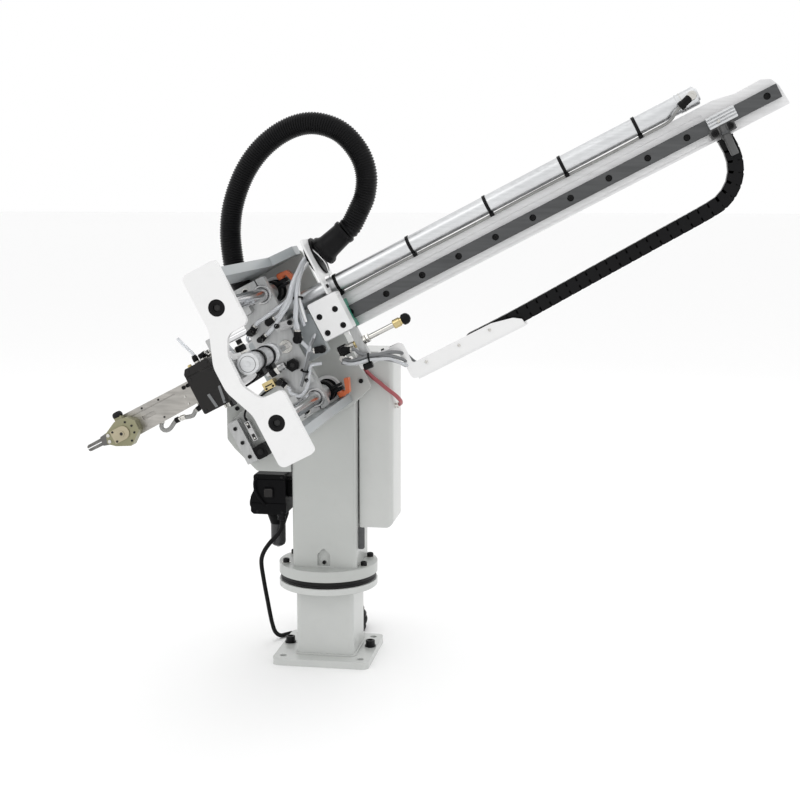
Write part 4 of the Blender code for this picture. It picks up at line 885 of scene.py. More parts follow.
# saddle that ties the cylinder to the carriage
add("carriage", "alu_plate", prism_bm(fillet([(8, 30.4), (44, 30.4), (44, 36.4), (8, 36.4)], 1.4), -124, -84))
for uu in (14, 38):
    cap_screw("carriage", (uu, -121, 33.2), (0, -1, 0), 1.8, 2)

tray = [(74, -68), (141, -68), (147, -73), (147, -104.5), (276, -104.5), (308, -111.5), (319, -119), (320, -127), (136, -127), (136, -79.5), (74, -79.5)]
tr = piece("cable_tray", prism_bm(fillet(tray, [2, 6, 6, 4, 8, 8, 2, 1, 8, 4, 2]), -121, -118), "white", ARM, bevel=0.5)
join(tr, box_bm(145, 320, -120, -86, -130, -126), ARM)
join(tr, box_bm(74, 128, -138, -119, -70.5, -68), ARM)
for uu in (84, 118):
    cap_screw("carriage", (uu, -130, -68), (0, 0, 1), 2.6, 2.4)
for uu in (166, 220, 270):
    cap_screw("carriage", (uu, -121, -112), (0, -1, 0), 2.2, 1.6, "nickel")
piece("hose_plate", prism_bm(fillet([(-150, 40.5), (-124, 40.5), (-124, 67), (-62, 67), (-62, 128), (-150, 128)], [3, 3, 6, 3, 8, 8]), 86, 89, "yz"), "white", ARM, bevel=0.4)
cap_screw("carriage", (89, -137, 52), (1, 0, 0), 3.0, 2.6)
cap_screw("carriage", (86, -72, 119), (-1, 0, 0), 3.0, 2.6)
gm = ARM @ Matrix.Translation(Vector((89.6, -96, 99))) @ Matrix.Rotation(-math.radians(14.5), 4, "Y")
boot = [(9, 6.4), (21.4, 6.4), (22, 7), (22, 10), (21.2, 10.6), (22, 11.2), (22, 15.4), (21, 16.6), (19.4, 18.4), (18.4, 22), (17.4, 38), (17.0, 48), (17.8, 49.4), (18.4, 52), (18.4, 55), (17.6, 56), (14.8, 56), (13, 50), (9, 40)]
piece("hose_boot", lathe_bm(boot, 72, "x"), "plastic", gm, bevel=0.25)
for k in range(8):
    a = 2 * math.pi * k / 8
    add("carriage", "plastic", box_bm(8.4, 14.6, -1.2, 1.2, 21.6, 22.6), gm @ Matrix.Rotation(a, 4, "X"))
stick("carriage", "plastic", (85.9, -96, 99), (-1, 0, 0), [(13.5, 0), (21.6, 0), (22.2, 0.8), (22.2, 8.4), (21, 10), (15.5, 10), (13.5, 8.6)], 72)
for k in range(12):
    a = 2 * math.pi * k / 12
    add("carriage", "plastic", box_bm(-1.2, 1.2, -0.9, 0.9, -9.4, -0.4), ARM @ Matrix.Translation((85.9, -96 + 22.4 * math.cos(a), 99 + 22.4 * math.sin(a))) @ Matrix.Rotation(math.pi / 2, 4, "Y"))
stick("carriage", "rubber", (89.05, -96, 99), (1, 0, 0), [(12, 0), (28.4, 0), (28.8, 0.5), (28.8, 2.2), (28.2, 2.8), (12, 2.8)], 72)
STOP_Y, STOP_W = -131.2, -42.0
sb = piece("stop_block", prism_bm(fillet([(88, -67.6), (99.5, -67.6), (99.5, -19.4), (88, -19.4)], 1.5), -138, -124.6), "alu_plate", ARM, bevel=0.5)
cut(sb, rod_bm(80, 110, 4.5, 32, "x", (0, STOP_Y, STOP_W)), ARM)
srod = [(0, 73.5), (6, 73.5), (6, 84), (4, 84.4)]
t = 86.0
while t < 104:
    srod += [(4.0, t), (3.6, t + 0.6), (4.0, t + 1.2)]
    t += 1.2
srod += [(4, 112), (4, 150), (5.8, 150.4), (5.8, 160), (3, 160.4), (3, 164), (6.5, 164.4), (8, 166), (8, 170), (7.6, 171.6), (6.4, 173.6), (3.4, 175.8), (0, 176.4)]
piece("stop_rod", lathe_bm(srod, 40, "x", (0, STOP_Y, STOP_W)), "nickel", ARM, bevel=0)
stick("carriage", "brass", (150, STOP_Y, STOP_W), (1, 0, 0), [(4.1, 0), (6.2, 0), (6.8, 0.7), (6.8, 10.2), (6.2, 11), (5.4, 11.2), (5.4, 13.6), (3.1, 13.9)], 40)
stick("carriage", "brass", (86, STOP_Y, STOP_W), (1, 0, 0), [(4.1, -1), (5.6, -1), (5.6, 1.6), (4.1, 1.6)], 40)
stick("carriage", "plastic", (164.2, STOP_Y, STOP_W), (1, 0, 0), [(3, -0.1), (6.8, 0), (8.25, 1.6), (8.3, 6.2), (7.8, 8.0), (6.6, 10.0), (3.6, 12.2), (0, 12.9)], 40)
hexagon("carriage", "nickel", (99.6, STOP_Y, STOP_W), (1, 0, 0), 7.2, 0, 4.4)
hexagon("carriage", "nickel", (105, STOP_Y, STOP_W), (1, 0, 0), 7.2, 0, 4.0)
n = 30
kn = prism_bm([((8 - 0.55 * (k % 2)) * math.cos(math.pi * k / n), (8 - 0.55 * (k % 2)) * math.sin(math.pi * k / n)) for k in range(2 * n)], 59.2, 72.6, "xy")
sk = piece("stop_knob", kn, "black", ARM @ Matrix.Translation((0, STOP_Y, STOP_W)) @ Matrix.Rotation(math.pi / 2, 4, "Y"), bevel=0)
add("stop_knob", "nickel", rod_bm(58.0, 59.3, 6.2, 40, "x", (0, STOP_Y, STOP_W), 0.4))
hexp = lathe_bm([(0, CARR_Y0 - 0.4), (6, CARR_Y0 - 0.4), (6, -154), (9.4, -154.4), (10, -155.2), (10, -162.6), (8.9, -165), (4, -165), (3.6, -163), (0, -163)], 6, "y", (-5, 0, -27))
piece("hex_knob", hexp, "plastic", ARM, bevel=0.6, seg=3)
# dark disc at the bottom of the knob's recess: painted shade of the hole
stick("hex_knob", "dark", (-5, -163, -27), (0, -1, 0), [(0, 0), (3.4, 0), (3.4, 0.4), (0, 0.9)], 24)

# fittings, sensors and shock absorber on the front of the carriage
P0 = CARR_Y0
e, d = speed_controller("carriage", (-38, P0, 42.5), (0, -1, 0), (0.9, 0, 0.5), 1.15)
soft_tube("carriage", [e, e + d * 8, (-12, -160, 52), (10, -158, 56), (30, -150, 60), (40, -140, 72), (56, -128, 86), (70, -112, 97), (84, -100, 99)], 2.9, "clear")
e, d = speed_controller("carriage", (-30, P0, 27), (0, -1, 0), (1, 0, 0.25), 1.0)
soft_tube("carriage", [e, e + d * 8, (-6, -160, 34), (14, -160, 44), (32, -152, 56), (44, -142, 72), (58, -130, 88), (72, -112, 100), (85, -98, 102)], 2.9, "clear")
e, d = fitting("carriage", (-8, P0, 44), (0, -1, 0), 1.1, side=(1, 0, 0.1))
soft_tube("carriage", [e, e + d * 8, (18, -160, 50), (34, -154, 62), (46, -144, 78), (60, -130, 92), (74, -114, 104), (86, -100, 106)], 2.9, "clear")
add("carriage", "steel", prism_bm(fillet([(-4, 26), (26, 21), (27.5, 33), (-2, 38)], 2.5), -160, -150.2))
for p in ((1.0, -160, 33.8), (21, -160, 29.6)):
    cap_screw("carriage", p, (0, -1, 0), 3.8, 4.2)
e, d = fitting("carriage", (19.5, P0, 3), (0, -1, 0), 1.35, side=(0.5, 0, 0.9))
soft_tube("carriage", [e, e + d * 7, (30, -160, 28), (38, -154, 44), (46, -146, 64), (58, -132, 84), (70, -118, 98), (86, -96, 110)], 2.9, "clear")
e, d = fitting("carriage", (42, P0 + 10, -26), (0, -1, 0), 1.2, side=(-0.9, 0, 0.3))
soft_tube("carriage", [e, e + d * 7, (24, -152, -12), (20, -156, 6), (26, -158, 24), (36, -154, 44), (48, -144, 66), (62, -128, 88), (76, -108, 102), (87, -92, 96)], 2.9, "clear")
e, d = fitting("carriage", (70, -137, -42), (0, -1, 0), 1.15, side=(0.9, 0, -0.4))
soft_tube("carriage", [e, e + d * 7, (88, -146, -56), (98, -146, -64), (112, -144, -70), (130, -136, -76), (142, -116, -88), (150, -106, -108), (170, -102, -120)], 2.6, "greytube")
bundle("carriage", [(38, -150, 20), (40, -148, 36), (42, -142, 52), (50, -134, 72), (62, -122, 90), (76, -110, 98), (88, -98, 99)], 2.0, ["clear"] * 5 + ["white"], 3.9, seed=3)
tie("carriage", (43.5, -140.5, 56), (0.35, 0.3, 0.9), 6.6)
bundle("carriage", [(40, -146, -4), (30, -150, -14), (22, -156, -24), (12, -158, -36), (2, -158, -48), (-8, -156, -58)], 2.0, ["clear", "clear", "greytube"], 2.8, seed=5)
tie("carriage", (6.5, -158, -42.5), (0.7, 0, 0.7), 5.2)
# shock absorber with its two lock nuts
stick("carriage", "steel", (-30, -174, -21.5), (0.96, 0, 0.02), [(0, -12), (5.0, -12), (5.6, -11), (5.6, 18), (5.0, 19), (0, 19)], 40)
stick("carriage", "plastic", (-30, -174, -21.5), (0.96, 0, 0.02), [(5.7, -6), (9.0, -6), (9.6, -5.2), (9.6, 1.2), (9.0, 2), (5.7, 2)], 6)
stick("carriage", "nickel", (-30, -174, -21.5), (0.96, 0, 0.02), [(5.7, 3), (8.6, 3), (9, 3.6), (9, 8), (5.7, 8)], 6)
add("carriage", "alu_plate", prism_bm(fillet([(-34, -28), (-22, -28), (-22, -15), (-34, -15)], 2), -170, -150.2))
# brass adjusting block with a dark strip across its face
add("carriage", "brass", prism_bm(fillet([(-58, -43), (-40, -43), (-40, -31), (-58, -31)], 1.5), -168, -150.2))
add("carriage", "dark", prism_bm([(-55, -38.2), (-43, -38.2), (-43, -36.2), (-55, -36.2)], -168.2, -167.9))
for uu in (-54.5, -43.5):
    cap_screw("carriage", (uu, -168, -40.6), (0, -1, 0), 1.6, 1.6)
e, d = speed_controller("carriage", (-33, P0, -41), (0, -1, 0), (0.4, 0, -0.9), 1.1)
soft_tube("carriage", [e, e + d * 7, (-27, -160, -62), (-16, -162, -72), (-2, -160, -66), (10, -156, -50), (16, -150, -40), (30, -142, -44)], 2.6, "clear")
cap_screw("carriage", (-20, P0, -96.8), (0, -1, 0), 3.6, 3.4, washer=True)
cap_screw("carriage", (-20, P0, 99), (0, -1, 0), 3.6, 3.4, washer=True)
for ww in (-52, 56):
    cap_screw("carriage", (7, P0, ww), (0, -1, 0), 2.6, 2.4)
add("carriage", "alu_plate", prism_bm(fillet([(-6, -62), (12, -62), (12, -50), (-6, -50)], 2), -158, -150.2))
cap_screw("carriage", (3, -158, -56), (0, -1, 0), 3.0, 3.0)
# tubes that leave the carriage for the tray, held by a tie
base_pts = [(60, -140, -56), (70, -146, -62), (84, -148, -66), (98, -146, -68), (112, -142, -74), (124, -138, -82), (133, -128, -92), (139, -116, -102), (150, -106, -112), (168, -102, -117)]
bundle("carriage", base_pts, 2.4, ["greytube", "greytube", "greytube", "clear"], 3.4, seed=8)
tie("carriage", (98, -146, -68), (1, 0.1, -0.3), 6.2)
stick("carriage", "plastic", (92, -146, -78), (1, 0, -0.1), [(0, -7), (4.6, -7), (5, -6), (5, 5), (4, 7), (0, 7)], 28)
for uu, ww in ((60, -52), (68, -58)):
    stick("carriage", "nickel", (uu, -136, ww), (0, -1, 0), [(0, -11), (4.2, -11), (4.2, 3), (0, 3)], 28)
# thin thread-like strand across the boot
soft_tube("carriage", [(87, -118, 118), (92, -121, 108), (97, -121, 94), (99, -119, 82), (96, -113, 70), (91, -104, 62)], 0.7, "white")

# ======================= corrugated hose =======================
he = gm @ Vector((57.0, 0, 0))
he2 = gm @ Vector((67, 0, 0))
inv = ARM.inverted()
HPTS = [inv @ he, inv @ he2] + [Vector(p) for p in ((174, -96, 129.5), (193, -95, 145.5), (209, -93, 172.5), (213, -90, 207), (201, -86, 246), (171, -82, 275), (132, -78, 286), (86, -75, 281), (43, -73, 261.5), (5.5, -72, 229.5), (-18.5, -73.5, 195), (-32.5, -77.5, 160), (-39.6, -80, 133), (-40, -80, 108.2))]
hp, hose_len = resample(smooth_path(HPTS, 12), 0.95)
RIDGE = (0.0, 0.35, 1.0, 0.35)
hose = piece("corrugated_hose", sweep_bm(hp, lambda i: HOSE_R - 1.5 + 1.5 * RIDGE[i % 4], 36), "plastic", ARM, "later", bevel=0)
for f in hose.data.polygons:
    f.use_smooth = True
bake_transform(hose)
share = hose.data.attributes["share"] if "share" in hose.data.attributes else None
sock = piece("hose_socket", lathe_bm([(8, 84), (17, 84), (17, 92), (16.4, 92.6), (17, 93.2), (17, 106.6), (16.2, 107.4), (14.9, 107.4), (14.6, 106), (8, 104)], 64, "z", (-40, -80, 0)), "plastic", ARM, bevel=0.2)
for k in range(8):
    a = 2 * math.pi * k / 8
    add("head", "plastic", box_bm(16.6, 17.6, -1.2, 1.2, 85, 91.4), ARM @ Matrix.Translation((-40, -80, 0)) @ Matrix.Rotation(a, 4, "Z"))
add("head", "alu_plate", prism_bm(fillet([(-56, 74), (-24, 74), (-24, 83.6), (-56, 83.6)], 1.5), -80, -62.1))

# ======================= arm =======================
beam = [(ARM_LOW, BEAM_W0), (ARM_HIGH, BEAM_W0), (ARM_HIGH - 3, 10), (ARM_HIGH - 9, 22), (ARM_HIGH - 22, 28), (722, 27), (690, BEAM_W1), (ARM_LOW, BEAM_W1)]
bm_ob = piece("arm_beam", prism_bm(fillet(beam, [0, 2, 6, 6, 6, 4, 4, 0]), BEAM_Y0, BEAM_Y1), "beamalu", ARM, bevel=0.5)
for w0, w1 in ((-16.5, -13.5), (19.5, 22.5)):
    cut(bm_ob, box_bm(ARM_LOW - 2, 668, BEAM_Y0 - 1, BEAM_Y0 + 1.6, w0, w1), ARM)
for w0, w1 in ((-12, -6), (3, 9), (18, 24)):
    cut(bm_ob, box_bm(ARM_LOW - 2, ARM_HIGH + 5, BEAM_Y1 - 3.2, BEAM_Y1 + 1, w0, w1), ARM)
rprof = [(RAIL_Y0, RAIL_W0 + 0.5), (RAIL_Y0, RAIL_W1 - 0.5), (RAIL_Y0 + 0.5, RAIL_W1), (-105, RAIL_W1), (-103, RAIL_W1 - 2), (-100, RAIL_W1 - 2), (-98, RAIL_W1), (RAIL_Y1, RAIL_W1), (RAIL_Y1, RAIL_W0), (-98, RAIL_W0), (-100, RAIL_W0 + 2), (-103, RAIL_W0 + 2), (-105, RAIL_W0), (RAIL_Y0 + 0.5, RAIL_W0)]
rail = piece("linear_rail", prism_bm(rprof, ARM_LOW + 3, 775, "yz"), "darksteel", ARM, bevel=0.2)
holes = bmesh.new()
for k in range(-4, 11):
    hu = 157 + 60 * k
    if -118 < hu < 770:
        lathe_bm([(0, -6), (3.0, -6), (3.0, 0.5), (5.0, 0.5), (5.0, 9), (0, 9)], 28, "y", (hu, RAIL_Y0 + 8, 3), holes)
        stick("arm", "black", (hu, RAIL_Y0 + 8.4, 3), (0, -1, 0), [(0, 0), (4.2, 0), (4.2, 3.6), (3.6, 4.2), (2.2, 4.2), (2.1, 2), (0, 2)], 28)
hol2 = bmesh.new()
for k in range(-4, 11):
    hu = 157 + 60 * k
    if -118 < hu < 770:
        rod_bm(RAIL_Y0 - 1, RAIL_Y0 + 8.6, 4.9, 28, "y", (hu, 0, 3), 0.1, hol2)
holes.free()
cut(rail, hol2, ARM)
cp = piece("chain_clip", prism_bm(fillet([(669, -3), (711, -3), (711, 14), (669, 14)], 1.5), -120, RAIL_Y0 - 0.4), "alu", ARM, bevel=0.5)
add("arm", "darkpost", prism_bm(fillet([(678.2, -24), (691.8, -24), (691.8, -3.2), (678.2, -3.2)], 2), -119.6, -113))
for ww in (1.2, 5.6, 10.0):
    cut(cp, box_bm(667, 713, -121, -116.4, ww - 0.8, ww + 0.8), ARM)
for uu in (673, 696):
    add("arm", "darkpost", prism_bm(fillet([(uu - 7, -17), (uu + 7, -17), (uu + 7, -3.2), (uu - 7, -3.2)], 2), -114, -96.2))
    cap_screw("arm", (uu, -114, -10), (0, -1, 0), 5.0, 5.6)
cap_screw("arm", (684, -120, 3), (0, -1, 0), 2.2, 1.6, "nickel")
for uu, ww in ((-112, 26), (-112, -14)):
    cap_screw("arm", (uu, BEAM_Y0, ww), (0, -1, 0), 2.8, 2.2)
# post between the clip and the chain's end, standing in front of the chain
stick("arm", "darkpost", (685.4, -119.4, -5), (-0.02, 0, -1), [(0, 0), (4.4, 0), (5.0, 1.0), (5.2, 14), (5.8, 15), (5.8, 41), (5.0, 43.4), (0, 43.4)], 40)
stick("arm", "darksteel", (685.4, -119.4, -5), (-0.02, 0, -1), [(5.1, 8), (6.3, 8), (6.3, 12), (5.3, 12)], 40)
ab = piece("arm_box", prism_bm(fillet([(-171, -33), (-125.4, -33), (-125.4, 41), (-166, 41), (-171, 34)], [3, 3, 3, 3, 2]), -128, -84), "boxblack", ARM, bevel=0.8, seg=3)
cut(ab, box_bm(-172, -124, -129, -127.2, 28.2, 29.2), ARM)
for uu, ww in ((-166, 24), (-130.4, 24), (-166, -28), (-130.4, -28), (-130.4, 36), (-163, 36)):
    cap_screw("arm", (uu, -128, ww), (0, -1, 0), 2.0, 1.4, "dark")
add("arm", "greytube", prism_bm(fillet([(-150, -31), (-145.5, -31), (-148.5, -8), (-153, -8)], 1.2), -128.9, -128.05))
add("arm", "greytube", prism_bm(fillet([(-136, -31), (-131.5, -31), (-127.5, -4), (-131.5, -4)], 1.2), -128.9, -128.05))
e, d = fitting("arm", (-150.5, -106, 41), (0, 0, 1), 0.95, straight=True)
soft_tube("arm", [e, e + d * 5, (-153, -107, 66), (-157, -108, 78), (-160, -108, 88)], 2.6, "clear")
e, d = fitting("arm", (-138, -112, 41), (0, 0, 1), 0.9, side=(1, 0, 0.2))
e2, d2 = fitting("arm", (-137.5, -94, 41), (0, 0, 1), 0.9, side=(1, 0, 0.1))
stick("arm", "brass", (-161, -114, 40.6), (0, 0, 1), [(0, 0), (3.2, 0), (3.2, 3), (2.2, 4), (0, 4)], 24)
stick("arm", "nickel", (-130, -98, 40.6), (0, 0, 1), [(0, 0), (3.6, 0), (3.6, 4.5), (2.4, 6), (0, 6)], 6)
piece("rod_lug", prism_bm(fillet([(-118, 33.4), (-106, 33.4), (-106, 58), (-118, 58)], [0, 0, 4, 4]), -114, -84), "steel", ARM, bevel=0.5)
hexagon("arm", "nickel", (-105.8, CYL_Y, CYL_W), (1, 0, 0), 7.4, 0, 5)
hexagon("arm", "nickel", (-118, CYL_Y, CYL_W), (-1, 0, 0), 7.4, 0, 4.4)
piece("piston_rod", rod_bm(-105.6, 560, 5, 40, "x", (0, CYL_Y, CYL_W), 0.6), "chrome", ARM, bevel=0)
gb = piece("gripper_bar", prism_bm(fillet([(-171.4, -12), (-171.4, 24), (-297, 24), (-300, -15)], 2), -110, -94), "barsteel", ARM, bevel=0.8)
cut(gb, box_bm(-290, -205, -112, -108.6, 15.2, 16.4), ARM)
cut(gb, box_bm(-268, -246, -112, -107, 2, 8), ARM)
for uu, ww in ((-179, 18.0), (-186.5, 18.0)):
    cap_screw("arm", (uu, -110, ww), (0, -1, 0), 3.0, 3.2)
add("arm", "barsteel", prism_bm(fillet([(-196, -12), (-172, -12), (-172, 11), (-196, 11)], 1.5), -112, -110.05))
for ww in (-7, 5):
    cap_screw("arm", (-191, -112, ww), (0, -1, 0), 1.8, 1.4, "nickel")
for k, (uu, ww) in enumerate(((-232, 19.6), (-262, 19.6), (-236, -8))):
    cap_screw("arm", (uu, -110, ww), (0, -1, 0), 1.6, 1.0, "dark")
# air line with its fittings under the bar
e, d = fitting("arm", (-176, -104, -12), (-0.25, 0, -1), 0.95, side=(-1, 0, -0.2))
soft_tube("arm", [e, e + d * 4, (-196, -104, -26), (-204, -104, -24.5), (-212, -104, -22)], 3.4, "smoketube")
stick("arm", "nickel", (-210, -104, -22), (-1, 0, 0.1), [(0, -2), (4.2, -2), (4.2, 5), (3.4, 6), (3.4, 9), (0, 9)], 24)
stick("arm", "plastic", (-219, -104, -21), (-1, 0, 0), [(0, 0), (4.4, 0), (4.4, 6), (0, 6)], 24)
soft_tube("arm", [(-225, -104, -21), (-231, -104, -24), (-238, -104, -27.5), (-245, -104, -28), (-250, -104, -24), (-249.5, -104, -18), (-245, -104, -13)], 3.4, "smoketube")
stick("arm", "nickel", (-245, -104, -11.8), (-0.2, 0, -1), [(0, -1), (4.4, -1), (4.4, 3.4), (3.4, 4.2), (0, 4.2)], 6)
# clips where the box meets the bar, below
for uu, ww in ((-143, -36.5), (-136, -36.5)):
    stick("arm", "nickel", (uu, -104, ww + 3.6), (0, 0, -1), [(0, 0), (2.4, 0), (2.4, 5), (1.4, 6.4), (0, 6.4)], 20)
add("arm", "black", prism_bm(fillet([(-131, -41), (-126.5, -41), (-126.5, -24), (-131, -24)], 1), -118, -100))

# ======================= drag chain =======================
CH = [Vector(p) for p in ((683, -100, -23.5), (684, -100, -34), (682.8, -100, -48), (679, -100, -64), (668, -100, -81.5), (651, -100, -94.5), (627, -100, -101), (534, -100, -105), (430, -100, -109), (336, -100, -112.8), (290, -100, -114), (236, -100, -114.2))]
cpath, chain_len = resample(smooth_path(CH, 10), 16.0)
chain = bmesh.new()
share_list = []
cfr = frames(cpath)
cm = len(cfr)
for i in range(cm - 1):
    p = (cpath[i] + cpath[i + 1]) / 2
    t = (cpath[i + 1] - cpath[i]).normalized()
    side = Vector((0, 1, 0))
    nrm = t.cross(side).normalized()
    m = Matrix(((t.x, side.x, nrm.x, p.x), (t.y, side.y, nrm.y, p.y), (t.z, side.z, nrm.z, p.z), (0, 0, 0, 1)))
    L = (cpath[i + 1] - cpath[i]).length
    link = bmesh.new()
    # two side plates, a floor and a lid make one link
    out = fillet([(-L * 0.54, -10.6), (L * 0.50, -10.6), (L * 0.60, -6.0), (L * 0.60, 6.0), (L * 0.50, 10.6), (-L * 0.54, 10.6)], [1.0, 1.0, 3.0, 3.0, 1.0, 1.0], 3)
    for y0, y1 in ((-12, -9.6), (9.6, 12)):
        merge(link, prism_bm(out, y0, y1))
    # the covered duct inside, which closes the gaps between the lids
    merge(link, prism_bm(fillet([(-L * 0.60, -10.1), (L * 0.60, -10.1), (L * 0.60, 10.1), (-L * 0.60, 10.1)], 1.0, 2), -9.5, 9.5))
    merge(link, prism_bm(fillet([(-L * 0.60, -9.4), (L * 0.60, -9.4), (L * 0.60, 9.4), (-L * 0.60, 9.4)], 1.0, 2), -11.3, 11.3))
    merge(link, prism_bm(fillet([(-L * 0.44, 8.6), (L * 0.44, 8.6), (L * 0.44, 11.0), (-L * 0.44, 11.0)], 0.6, 2), -11, 11))
    merge(link, prism_bm(fillet([(-L * 0.44, -11.0), (L * 0.44, -11.0), (L * 0.44, -8.6), (-L * 0.44, -8.6)], 0.6, 2), -11, 11))
    for y0, y1 in ((-12.25, -11.9), (11.9, 12.25)):
        merge(link, rod_bm(y0, y1, 3.6, 18, "y", (-L * 0.40, 0, 0), 0.1))
    merge(chain, link, m)
chain_ob = piece("drag_chain", chain, "plastic", ARM, "later", bevel=0)
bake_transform(chain_ob)
# cables inside the chain, seen at its open lower end
for k in range(4):
    soft_tube("carriage", [(238, -106 + 4 * k, -115 + 2 * (k % 2)), (222, -105 + 3.6 * k, -117), (206, -103 + 3 * k, -119.4), (186, -102 + 2.6 * k, -121), (166, -102 + 2.4 * k, -119), (152, -102 + 2 * k, -114)], 1.9, ("greytube", "plastic")[k % 2])
# links' fixed ends
add("carriage", "plastic", prism_bm(fillet([(229, -125.6), (241, -125.6), (241, -105.6), (229, -105.6)], 2), -112.4, -87.6))
cap_screw("carriage", (235, -112.4, -112), (0, -1, 0), 2.2, 1.2, "nickel")
add("arm", "plastic", prism_bm(fillet([(671.6, -23.4), (694.4, -23.4), (694.4, -20.2), (671.6, -20.2)], 1), -112.4, -87.6))

# ======================= wrist and jaws =======================
wb = piece("wrist_body", prism_bm(fillet([(-305, 20), (-286, 19), (-274, 8), (-275, -8), (-284.6, -15.6), (-297, -24.5), (-320, -14), (-331, -5), (-326, 10)], 4), -128, -110.4), "olive", ARM, bevel=0.9, seg=3)
join(wb, prism_bm(fillet([(-304, 16), (-292, 16), (-292, 29), (-304, 29)], 3), -125, -114), ARM)
stick("wrist", "black", (-298, -119.5, 24), (0, 0, 1), [(0, 0), (7.0, 0), (8.0, 1.2), (8.2, 3.4), (7.4, 6.2), (5.4, 8.2), (0, 9.0)], 40)
dsh = [(-318, -11), (-300, -11)] + [(-300 + 10.5 * math.cos(math.radians(a)), -0.5 + 10.5 * math.sin(math.radians(a))) for a in range(-90, 91, 12)] + [(-300, 10), (-318, 10)]
add("wrist", "tan", prism_bm(dsh, -130.4, -128.05))
# dark disc inside the tan ring: painted shade of its bore
stick("wrist", "dark", (-302, -130.4, -1), (0, -1, 0), [(0, 0), (2.6, 0), (2.6, 0.4), (0, 0.4)], 28)
stick("wrist", "tan", (-302, -130.3, -1), (0, -1, 0), [(2.6, 0), (4.6, 0), (4.4, 1.2), (2.6, 1.4)], 36)
for uu, ww, yy in ((-314, 7.4, -130.4), (-314, -8.4, -130.4), (-289.4, 12.4, -128), (-282.6, 3, -128), (-283.4, -8, -128), (-293, -17.4, -128)):
    cap_screw("wrist", (uu, yy, ww), (0, -1, 0), 1.7, 1.2, "dark")
for uu, ww in ((-323.4, 6.0), (-325.6, -3.2)):
    stick("wrist", "nickel", (uu, -128, ww), (0, -1, 0), [(0, 0), (2.8, 0), (2.8, 1.4), (2.0, 2.0), (0, 2.0)], 28)
# fork that carries the jaws
add("wrist", "jawsteel", prism_bm(fillet([(-339, -4.6), (-326, -8.4), (-324, 11), (-337, 9.4)], 2), -127, -124.6))
# pivot of the wrist behind its body, in the bar
stick("wrist", "steel", (-302, -110.4, -1), (0, 1, 0), [(0, 0.02), (8.6, 0.02), (8.6, 0.9), (0, 0.9)], 40)
JAW_U, JAW_MID = -334.0, 2.0
for k, sgn in (("a", 1), ("b", -1)):
    w = JAW_MID + sgn * 3.2
    jaw = [(JAW_U + 2.6 * math.cos(math.radians(a)), w + 2.6 * math.sin(math.radians(a))) for a in range(-90, 91, 10)]
    tip = [(-360.5, w + sgn * 2.2), (-363.4, w + sgn * 1.2), (-364.4, w - sgn * 0.6), (-364.5, w - sgn * 2.5)]
    jaw = jaw + (tip if sgn > 0 else tip[::-1])
    jo = piece("jaw_" + k, prism_bm(jaw, -124, -115), "jawsteel", ARM, bevel=0.4)
    for q in range(6):
        uu = -350 - 2.2 * q
        cut(jo, box_bm(uu - 0.4, uu + 0.4, -125, -114, w - sgn * 2.9 - 0.6, w - sgn * 2.9 + 0.9 if sgn > 0 else w - sgn * 2.9 + 0.6), ARM)
    cut(jo, box_bm(-358, -342, -125, -123.2, w - 0.9, w + 0.9), ARM)
    stick("jaw_" + k, "black", (JAW_U, -124, w), (0, -1, 0), [(0, 0), (1.7, 0), (1.7, 0.5), (1.0, 0.6), (1.0, 0.2), (0, 0.2)], 20)

# ======================= gathered small parts =======================
for (body, kind), g in list(GROUP.items()):
    piece("small_" + body + "_" + kind, g, kind, WORLD, body, bevel=0)

# ======================= floor, light and camera =======================
scene = bpy.context.scene
scene.view_settings.view_transform = "Standard"
scene.view_settings.look = "None"


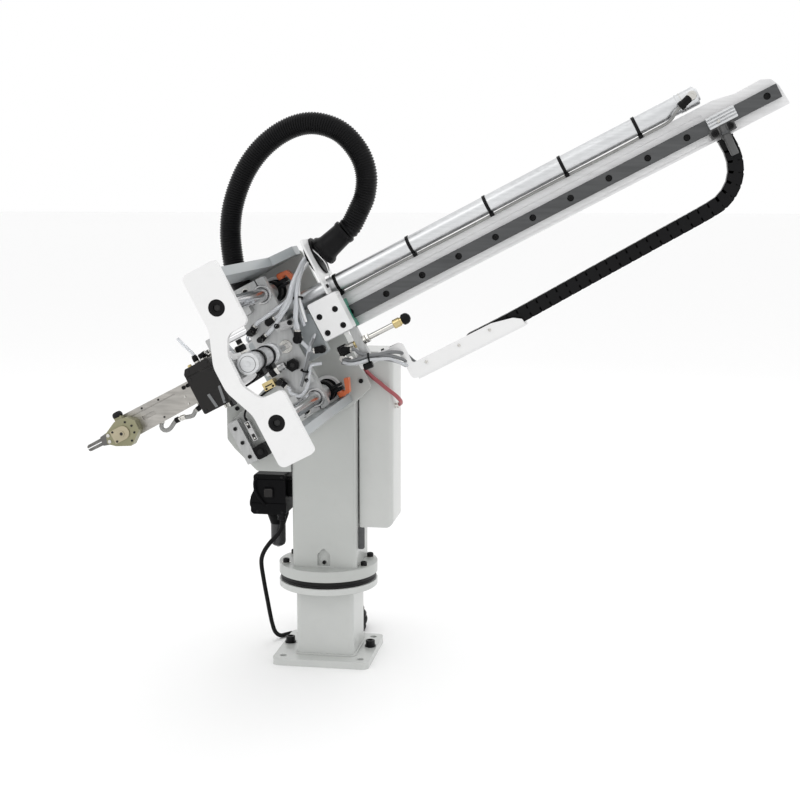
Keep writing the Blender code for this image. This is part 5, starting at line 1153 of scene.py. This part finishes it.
def studio():
    m = bpy.data.materials.new("studio_floor")
    m.use_nodes = True
    b = m.node_tree.nodes["Principled BSDF"]
    n = m.node_tree.nodes.new("ShaderNodeTexNoise")
    n.inputs["Scale"].default_value = 3.0
    r = m.node_tree.nodes.new("ShaderNodeMapRange")
    r.inputs["To Min"].default_value = 0.955
    r.inputs["To Max"].default_value = 0.975
    m.node_tree.links.new(n.outputs["Fac"], r.inputs["Value"])
    cmb = m.node_tree.nodes.new("ShaderNodeCombineColor")
    for k in range(3):
        m.node_tree.links.new(r.outputs["Result"], cmb.inputs[k])
    m.node_tree.links.new(cmb.outputs["Color"], b.inputs["Base Color"])
    b.inputs["Roughness"].default_value = 0.85
    b.inputs["Specular IOR Level"].default_value = 0.1
    bm = bmesh.new()
    bmesh.ops.create_grid(bm, x_segments=2, y_segments=2, size=40)
    me = bpy.data.meshes.new("floor")
    bm.to_mesh(me)
    bm.free()
    ob = bpy.data.objects.new("floor", me)
    me.materials.append(m)
    scene.collection.objects.link(ob)


studio()
world = bpy.data.worlds.new("studio") if not scene.world else scene.world
scene.world = world
world.use_nodes = True
bg = world.node_tree.nodes.get("Background") or world.node_tree.nodes.new("ShaderNodeBackground")
bg.inputs["Color"].default_value = (1.0, 1.0, 1.0, 1)
bg.inputs["Strength"].default_value = 1.0


def area(name, loc, target, size, power, col=(1, 1, 1)):
    l = bpy.data.lights.new(name, "AREA")
    l.shape = "RECTANGLE"
    l.size, l.size_y = size
    l.energy = power
    l.color = col
    o = bpy.data.objects.new(name, l)
    o.location = loc
    o.rotation_euler = (Vector(target) - Vector(loc)).to_track_quat("-Z", "Y").to_euler()
    scene.collection.objects.link(o)
    return o


area("key", (-1.6, -2.2, 2.4), (0.1, -0.1, 0.45), (1.3, 1.3), 8, (1.0, 0.995, 0.98))
area("fill", (2.4, -1.6, 1.5), (0.1, -0.1, 0.45), (1.6, 1.6), 2, (0.98, 0.99, 1.0))
area("top", (0.2, -0.4, 4.6), (0.1, 0.0, 0.4), (2.4, 2.4), 16)
area("rim", (0.6, 2.4, 2.2), (0.1, -0.1, 0.5), (1.6, 1.2), 6)

az, pitch = math.radians(9.225), math.radians(8.614)
F = Vector((-math.sin(az) * math.cos(pitch), math.cos(az) * math.cos(pitch), -math.sin(pitch)))
R = Vector((math.cos(az), math.sin(az), 0))
U = R.cross(F)
cd = bpy.data.cameras.new("camera")
cd.lens = 63.025
cd.sensor_width = 36
cd.clip_end = 100
cam = bpy.data.objects.new("camera", cd)
cam.matrix_world = Matrix(((R.x, U.x, -F.x, 0.4620), (R.y, U.y, -F.y, -2.1318), (R.z, U.z, -F.z, 0.7429), (0, 0, 0, 1)))
scene.collection.objects.link(cam)
scene.camera = cam

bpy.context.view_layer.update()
